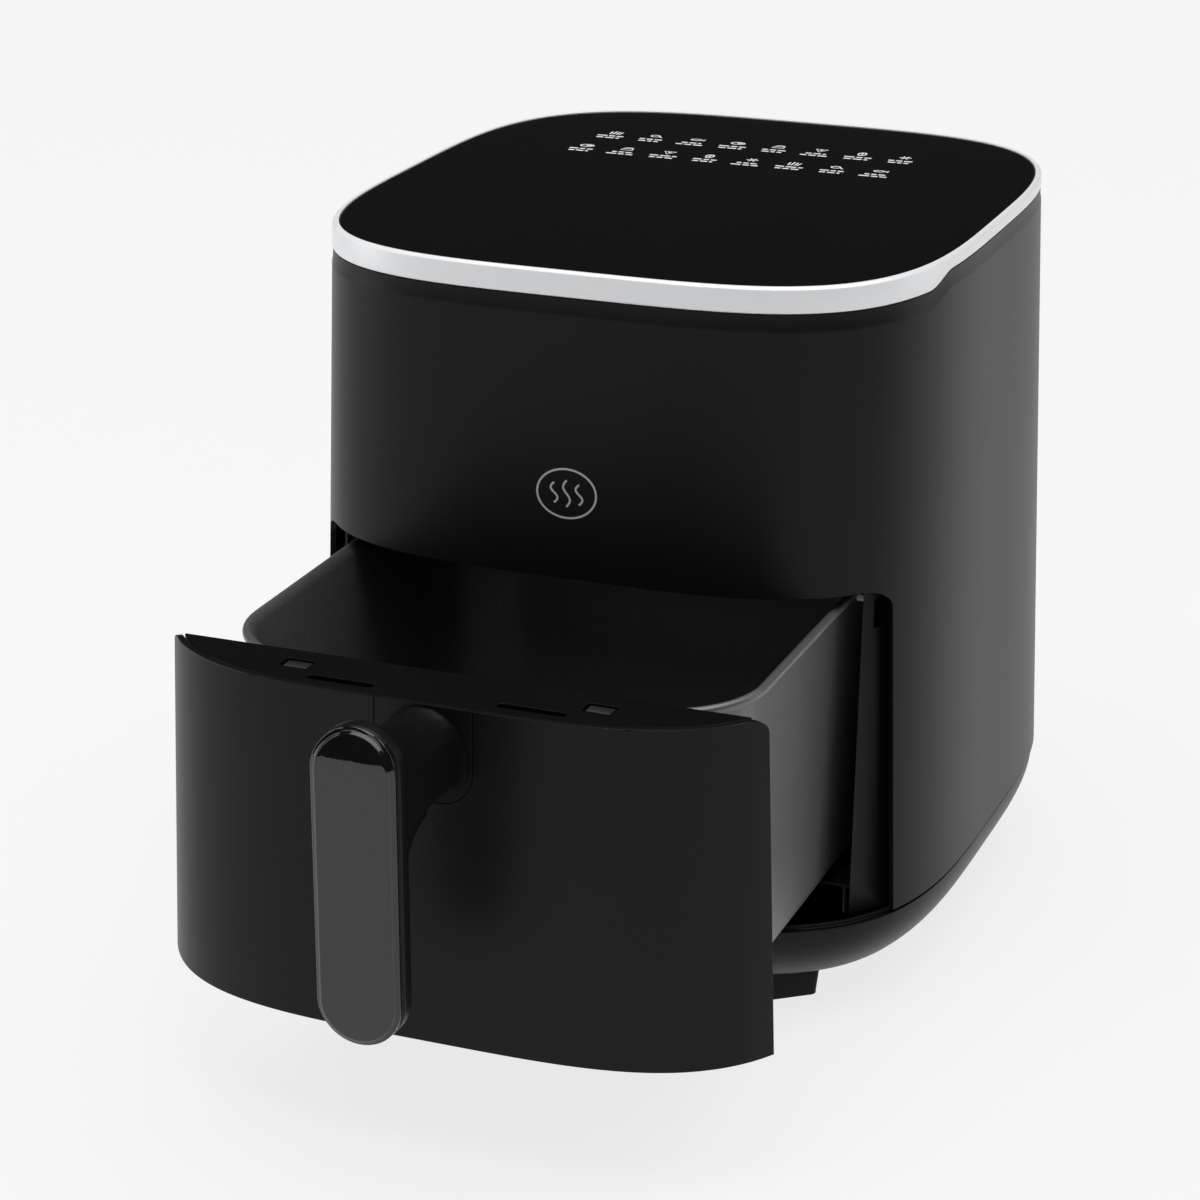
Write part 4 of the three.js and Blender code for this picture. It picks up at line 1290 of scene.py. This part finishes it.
def pan_section():
    """(height, inset) points from the underside, up the outside, over the rolled rim and down the inside."""
    floor = PAN_LOW.z + PAN_WALL
    near, far = FLOOR_RINGS
    outside = bend_section(PAN_LOW.z, PAN_RADIUS, 0.0)
    inside = bend_section(floor, PAN_RADIUS - PAN_WALL, PAN_WALL)
    start = [(PAN_LOW.z, far), (PAN_LOW.z, near), *outside, (WALL_TOP, 0.0)]
    end = [(LIP, PAN_WALL), *reversed(inside), (floor, near), (floor, far)]
    return start + rim_section() + end


pan = loft("drawer_pan", [pan_ring(z, inset) for z, inset in pan_section()])
pan.data.shade_smooth()
place(pan, "drawer", NON_STICK, ["pan"])
print("pan rings:", len(pan_section()))

# %% [markdown]
# ## The crisper plate
# Food stands on a plate full of holes, so that air can reach it from below. Drilling well over a hundred
# holes by hand would be slow, so Geometry Nodes lays out a grid of cutters and takes them all away in one
# Boolean. The number of holes each way and their pitch are inputs.

# %% Drill the plate
PLATE_LOW, PLATE_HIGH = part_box("crisper_plate")
HOLE_RADIUS = 3.1 * MM
HOLE_PITCH = 14 * MM
HOLES_ACROSS = 12
HOLES_ALONG = 14
PLATE_INSET = PAN_WALL + 4.2 * MM
EDGE_INSET = 1.2 * MM
EDGE_RISE = 0.4 * MM


def plate_blank():
    """The plate before drilling, with its edges chamfered."""
    levels = [
        (PLATE_LOW.z, EDGE_INSET),
        (PLATE_LOW.z + EDGE_RISE, 0.0),
        (PLATE_HIGH.z - EDGE_RISE, 0.0),
        (PLATE_HIGH.z, EDGE_INSET),
    ]
    return loft("drilled_plate", [pan_ring(z, PLATE_INSET + inset) for z, inset in levels])


def drill_tree():
    """Takes a grid of round cutters away from the incoming mesh."""
    group = bpy.data.node_groups.new("drill_grid", "GeometryNodeTree")
    ids = {
        "mesh": add_socket(group, "Geometry", "NodeSocketGeometry"),
        "across": add_socket(group, "Across", "NodeSocketInt", 2),
        "along": add_socket(group, "Along", "NodeSocketInt", 2),
        "pitch": add_socket(group, "Pitch", "NodeSocketFloat", 0.01),
        "radius": add_socket(group, "Radius", "NodeSocketFloat", 0.002),
        "middle": add_socket(group, "Middle", "NodeSocketVector"),
        "finish": add_socket(group, "Finish", "NodeSocketMaterial"),
    }
    add_socket(group, "Geometry", "NodeSocketGeometry", None, "OUTPUT")
    nodes, links = group.nodes, group.links
    start, end = nodes.new("NodeGroupInput"), nodes.new("NodeGroupOutput")

    def span(count_name):
        """The distance from the first hole to the last: the pitch times one less than the count."""
        less = nodes.new("ShaderNodeMath")
        less.operation = "SUBTRACT"
        less.inputs[1].default_value = 1
        times = nodes.new("ShaderNodeMath")
        times.operation = "MULTIPLY"
        links.new(start.outputs[count_name], less.inputs[0])
        links.new(less.outputs[0], times.inputs[0])
        links.new(start.outputs["Pitch"], times.inputs[1])
        return times.outputs[0]

    grid = nodes.new("GeometryNodeMeshGrid")
    links.new(span("Across"), grid.inputs["Size X"])
    links.new(span("Along"), grid.inputs["Size Y"])
    links.new(start.outputs["Across"], grid.inputs["Vertices X"])
    links.new(start.outputs["Along"], grid.inputs["Vertices Y"])
    shift = nodes.new("GeometryNodeTransform")
    links.new(grid.outputs[0], shift.inputs["Geometry"])
    links.new(start.outputs["Middle"], shift.inputs["Translation"])
    cutter = nodes.new("GeometryNodeMeshCylinder")
    cutter.inputs["Vertices"].default_value = 16
    cutter.inputs["Depth"].default_value = 0.01
    links.new(start.outputs["Radius"], cutter.inputs["Radius"])
    copies = nodes.new("GeometryNodeInstanceOnPoints")
    links.new(shift.outputs[0], copies.inputs["Points"])
    links.new(cutter.outputs[0], copies.inputs["Instance"])
    real = nodes.new("GeometryNodeRealizeInstances")
    links.new(copies.outputs[0], real.inputs[0])
    drill = nodes.new("GeometryNodeMeshBoolean")
    drill.operation = "DIFFERENCE"
    links.new(start.outputs["Geometry"], drill.inputs["Mesh 1"])
    links.new(real.outputs[0], drill.inputs["Mesh 2"])
    whole = nodes.new("GeometryNodeRealizeInstances")
    links.new(drill.outputs[0], whole.inputs[0])
    paint = nodes.new("GeometryNodeSetMaterial")
    links.new(whole.outputs[0], paint.inputs["Geometry"])
    links.new(start.outputs["Finish"], paint.inputs["Material"])
    links.new(paint.outputs[0], end.inputs[0])
    return group, ids


drill_grid, drill_ids = drill_tree()
plate_middle = (PAN_CENTRE.x, PAN_CENTRE.y, (PLATE_LOW.z + PLATE_HIGH.z) / 2)
plate = apply_tree(
    plate_blank(),
    drill_grid,
    drill_ids,
    across=HOLES_ACROSS,
    along=HOLES_ALONG,
    pitch=HOLE_PITCH,
    radius=HOLE_RADIUS,
    middle=plate_middle,
    finish=NON_STICK,
)
place(plate, "crisper", NON_STICK, ["crisper_plate"])
for corner in CORNERS:
    bumper = softened_copy("bumper_" + corner, "silicone_bumper_" + corner, 1.2 * MM)
    place(bumper, "crisper", RUBBER_BLACK, ["bumper_" + corner])
print("plate faces after drilling:", len(plate.data.polygons))

# %% [markdown]
# ## The handle
# A thick round-topped arm grows out of the plate, rises a little and turns into a flat upright grip. Such a
# blend is hard to draw as a net. Instead the plain volumes are put together, remeshed into one even skin
# and smoothed, which rounds every edge and fills every inner corner the way clay would.

# %% Grip, arm and fillet
GRIP_LOW, GRIP_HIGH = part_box("handle_body")
CAP_LOW, CAP_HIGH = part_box("handle_cap")
HANDLE_HALF = (GRIP_HIGH.x - GRIP_LOW.x) / 2
GRIP_FRONT = GRIP_LOW.y
GRIP_BACK = GRIP_FRONT + 9 * MM
ARM_EMBED = 4 * MM  # how far the arm reaches into the grip
FILLET_EMBED = 3 * MM
# The rounded back of the grip: how far each row lies in front of it, and its inset.
GRIP_BACK_ROWS = ((0.0, 2.4 * MM), (0.7 * MM, 0.9 * MM), (2.4 * MM, 0.0))
ARM_LOW = 158 * MM
ARM_ROOT_TOP = 188 * MM
ARM_ROOT_LEVEL = 172 * MM  # the height at which the arm's root is measured
ARM_SECTIONS = 16
ARM_NARROWER = 0.6 * MM  # than the grip, on each side
ARM_CORNER = 9 * MM
ARM_RISE = 2.2  # exponent: the arm leaves the plate level and climbs towards the grip
FLARE = 2.4 * MM  # how much wider the arm gets at its root
FLARE_END = 0.16
FILLET_NARROWER = 2.6 * MM
BEND = 20 * MM
HANDLE_VOXEL = 0.75 * MM


def round_top(half, high, steps):
    """A half circle over the top of an outline, from right to left."""
    turns = [math.pi * k / steps for k in range(steps + 1)]
    return [(half * math.cos(t), high - half + half * math.sin(t)) for t in turns]


def stadium(half, low, high, steps=20):
    """An upright slot outline in x and z, anticlockwise from its right."""
    top = round_top(half, high, steps)
    foot = [(-x, low + high - z) for x, z in top]
    return top + foot


def grip_slab():
    """The upright grip, rounded at the back and flat where the cap covers it."""
    low, high = GRIP_LOW.z, GRIP_HIGH.z
    rows = [(GRIP_BACK - forward, inset) for forward, inset in GRIP_BACK_ROWS] + [(GRIP_FRONT, 0.0)]
    sections = []
    for y, inset in rows:
        outline = stadium(HANDLE_HALF - inset, low + inset, high - inset)
        sections.append([(x, y, z) for x, z in outline])
    return loft("grip", sections)


def arm_outline(half, low, high):
    """A cross-section with a half-round top and a softly rounded underside."""
    quarter = [math.pi / 2 * k / 6 for k in range(7)]
    left = [(ARM_CORNER * (1 - math.cos(t)) - half, low + ARM_CORNER * (1 - math.sin(t))) for t in quarter]
    right = [(-x, z) for x, z in reversed(left)]
    return round_top(half, high, 12) + left + right


def arm_solid():
    """The arm, from just inside the plate's face to inside the grip."""
    start = front_point(0, ARM_ROOT_LEVEL, 0.0, DRAWER_SHIFT)[1] + 1.0 * MM
    end = GRIP_BACK - ARM_EMBED
    climb = GRIP_HIGH.z - 0.2 * MM - ARM_ROOT_TOP
    sections = []
    for k in range(ARM_SECTIONS + 1):
        t = k / ARM_SECTIONS
        y = start + (end - start) * t
        flare = FLARE * max(0.0, 1 - t / FLARE_END) ** 2
        half = HANDLE_HALF - ARM_NARROWER + flare
        top = min(ARM_ROOT_TOP + climb * t**ARM_RISE + flare * 0.4, GRIP_HIGH.z)
        sections.append([(x, y, z) for x, z in arm_outline(half, ARM_LOW - flare, top)])
    return loft("arm", sections)


def fillet_solid():
    """Fills the corner under the arm with a concave quarter round."""
    top = ARM_LOW + 6 * MM
    front = GRIP_BACK - FILLET_EMBED
    side = [(front, top), (GRIP_BACK + BEND, top)]
    for k in range(13):
        t = math.pi / 2 * k / 12
        side.append((GRIP_BACK + BEND - BEND * math.sin(t), ARM_LOW - BEND + BEND * math.cos(t)))
    side.append((front, ARM_LOW - BEND))
    half = HANDLE_HALF - FILLET_NARROWER
    sections = [[(x, y, z) for y, z in side] for x in (-half, -half / 2, half / 2, half)]
    return loft("fillet", sections)


def joined(name, pieces):
    """One object of several closed solids."""
    edit = bmesh.new()
    for piece in pieces:
        edit.from_mesh(piece.data)
        bpy.data.objects.remove(piece)
    mesh = bpy.data.meshes.new(name)
    edit.to_mesh(mesh)
    edit.free()
    made = bpy.data.objects.new(name, mesh)
    bpy.context.scene.collection.objects.link(made)
    return made


def mould_handle():
    """One even skin over the three solids, then smoothed."""
    handle = joined("handle_arm", [grip_slab(), arm_solid(), fillet_solid()])
    remesh = handle.modifiers.new("one_skin", "REMESH")
    remesh.mode = "VOXEL"
    remesh.voxel_size = HANDLE_VOXEL
    remesh.use_smooth_shade = True
    smooth = handle.modifiers.new("clay", "SMOOTH")
    smooth.factor = 0.6
    smooth.iterations = 9
    return settle(handle)


handle = mould_handle()
place(handle, "drawer", SHELL_BLACK, ["handle_body"])
print("handle faces:", len(handle.data.polygons))

# %% [markdown]
# ## The gloss cap on the grip
# A polished plate covers the grip's front. Flat black gloss looks like a hole unless it reflects something,
# so its edge has a thin bevel and its top leans back. The flat part then mirrors the pale worktop, and the
# leaning part mirrors the dark room as a black crescent. The net is a stack of shrinking slot outlines, and
# the last one is so narrow that a strip of quads closes it.

# %% Cap
CAP_INSET = 0.3 * MM
CAP_TURN_STEPS = 24
LEAN_START = CAP_HIGH.z - 12.5 * MM
LEAN = math.tan(math.radians(14))
LEAN_SOFTNESS = 0.5 * MM
DEEPEST_LEAN = 3.1 * MM
# The cap's edge from its side to its face: how far each row lies behind the face, and its inset, in mm. It
# has a narrow bevel, a flat step that stays dark, and a soft shoulder.
CAP_EDGE_ROWS = (
    (2.0, 0.0),
    (1.75, 0.1),
    (1.6, 0.35),
    (1.45, 1.5),
    (1.1, 1.75),
    (0.6, 1.9),
    (0.25, 2.1),
    (0.06, 2.4),
    (0.0, 2.8),
)
CAP_FACE_INSETS = (3.6, 5.0, 6.5, 8.0, 9.5, 11.0, 12.5, 14.0, 16.0)


def cap_back(z):
    """How far the cap's face has leaned back at a height: nothing below the bend, then a straight slope."""
    over = min((z - LEAN_START) / LEAN_SOFTNESS, 60.0)
    return min(LEAN * LEAN_SOFTNESS * math.log1p(math.exp(over)), DEEPEST_LEAN)


def cap_rows():
    """The y and the inset of each row, from the back of the cap to the middle of its face."""
    edge = [(CAP_LOW.y + behind * MM, inset * MM) for behind, inset in CAP_EDGE_ROWS]
    face = [(CAP_LOW.y, inset * MM) for inset in CAP_FACE_INSETS]
    return [(CAP_HIGH.y, 0.0), *edge, *face]


def weave_cap():
    """A plate whose front leans back at the top. Its back row stays upright, against the grip."""
    half = HANDLE_HALF - CAP_INSET
    trim = CAP_HIGH.x - half
    sections = []
    for i, (y, inset) in enumerate(cap_rows()):
        outline = stadium(half - inset, CAP_LOW.z + trim + inset, CAP_HIGH.z - trim - inset, CAP_TURN_STEPS)
        outline = refine_sides(outline)
        lean = [cap_back(z) if i else 0.0 for _, z in outline]
        sections.append([(x, y + back, z) for (x, z), back in zip(outline, lean)])
    count = len(sections[0])
    points = [p for section in sections for p in section]
    faces = net_faces(len(sections), count, True)
    faces.append(tuple(range(count)))
    faces += close_seam(len(sections) - 1, count)
    return make_mesh("gloss_cap", points, faces)


def refine_sides(outline, steps=48):
    """Adds points along the two straight sides, so that a bent face has rows to bend on."""
    half = len(outline) // 2
    top, foot = outline[:half], outline[half:]

    def between(start, end):
        return [(start[0], z) for z in spread(start[1], end[1], steps)[1:]]

    return top + between(top[-1], foot[0]) + foot + between(foot[-1], top[0])


def close_seam(row, count):
    """Closes the narrow slot left in the middle of the cap with quads from side to side."""
    base = row * count
    middle = CAP_TURN_STEPS // 2
    right = [base + (middle - k) % count for k in range(count // 2 + 1)]
    left = [base + (middle + k) % count for k in range(count // 2 + 1)]
    faces = []
    for k in range(len(left) - 1):
        quad = (right[k], right[k + 1], left[k + 1], left[k])
        faces.append(tuple(dict.fromkeys(quad)))
    return [face for face in faces if len(face) > 2]


cap = weave_cap()
cap.data.shade_smooth()
place(cap, "drawer", PIANO_BLACK, ["handle_cap"])
print("cap faces:", len(cap.data.polygons))

# %% [markdown]
# ## Worktop and light
# The machine stands on a plain pale surface that glows a little by itself, which keeps it one even tone out
# to the horizon and lights the black walls from below, as a white studio sweep does. A very wide sun adds a
# faint shadow. Soft panels on both sides draw the bright lines down the housing, one in front fills the
# ring, and a high strip catches the upper edges. The room behind them stays nearly dark, so that gloss has
# black to show.

# %% Floor and lights
FLOOR_REACH = 9.0
FLOOR_GLOW = 0.79
ROOM_LEVEL = 0.03
SUN_STRENGTH = 2.6
SUN_SPREAD = math.radians(70)
SUN_DIRECTION = Vector((0.1, 0.05, 1.0))
# Each panel's power in watts, its size and its position in metres.
LIGHT_PANELS = {
    "right_panel": (2.2, (0.6, 1.2), (1.3, 0.9, 0.7)),
    "left_panel": (5.0, (0.7, 1.2), (-1.4, -0.4, 0.7)),
    "front_fill": (2.9, (1.6, 0.5), (0.1, -1.6, 1.5)),
    "high_strip": (5.0, (1.8, 0.4), (-0.1, -0.75, 1.9)),
}


def floor_finish():
    """Matt and pale, with its own glow."""
    recipe = Recipe("pale_floor")
    grain = recipe.noise(30.0, 3.0)
    return recipe.finish(
        Base_Color=recipe.between(grain, grey(0.135), grey(0.14)),
        Roughness=0.9,
        Emission_Color=(1, 1, 1, 1),
        Emission_Strength=FLOOR_GLOW,
        IOR=1.1,
    )


def lay_floor():
    """One large square under the feet, which is stage and not part of the machine."""
    mesh = bpy.data.meshes.new("floor")
    corners = [(-1, -1), (1, -1), (1, 1), (-1, 1)]
    mesh.from_pydata([(x * FLOOR_REACH, y * FLOOR_REACH, 0) for x, y in corners], [], [(0, 1, 2, 3)])
    mesh.materials.append(floor_finish())
    floor = bpy.data.objects.new("floor", mesh)
    bpy.context.scene.collection.objects.link(floor)


def hang_lamp(light, position, direction):
    """Hangs a light so that it shines along a direction."""
    lamp = bpy.data.objects.new(light.name, light)
    lamp.location = position
    lamp.rotation_mode = "QUATERNION"
    lamp.rotation_quaternion = direction.to_track_quat("-Z", "Y")
    bpy.context.scene.collection.objects.link(lamp)


def hang_sun():
    """The light from everywhere above, so wide that its shadows have no edge."""
    light = bpy.data.lights.new("overhead", "SUN")
    light.energy = SUN_STRENGTH
    light.angle = SUN_SPREAD
    hang_lamp(light, (0, 0, 0), -SUN_DIRECTION)


def hang_panel(name, power, size, position, target):
    """A soft rectangular light that faces a target."""
    light = bpy.data.lights.new(name, "AREA")
    light.shape = "RECTANGLE"
    light.size, light.size_y = size
    light.energy = power
    hang_lamp(light, position, target - Vector(position))


def dim_room():
    """A nearly black room round the stage."""
    world = bpy.data.worlds.new("room")
    world.use_nodes = True
    background = world.node_tree.nodes["Background"]
    background.inputs["Color"].default_value = (1, 1, 1, 1)
    background.inputs["Strength"].default_value = ROOM_LEVEL
    bpy.context.scene.world = world


lay_floor()
dim_room()
hang_sun()
for name, (power, size, position) in LIGHT_PANELS.items():
    hang_panel(name, power, size, position, Vector((CENTRE.x, CENTRE.y, TOP / 2)))
bpy.context.scene.view_settings.view_transform = "Standard"
print("light panels:", len(LIGHT_PANELS))
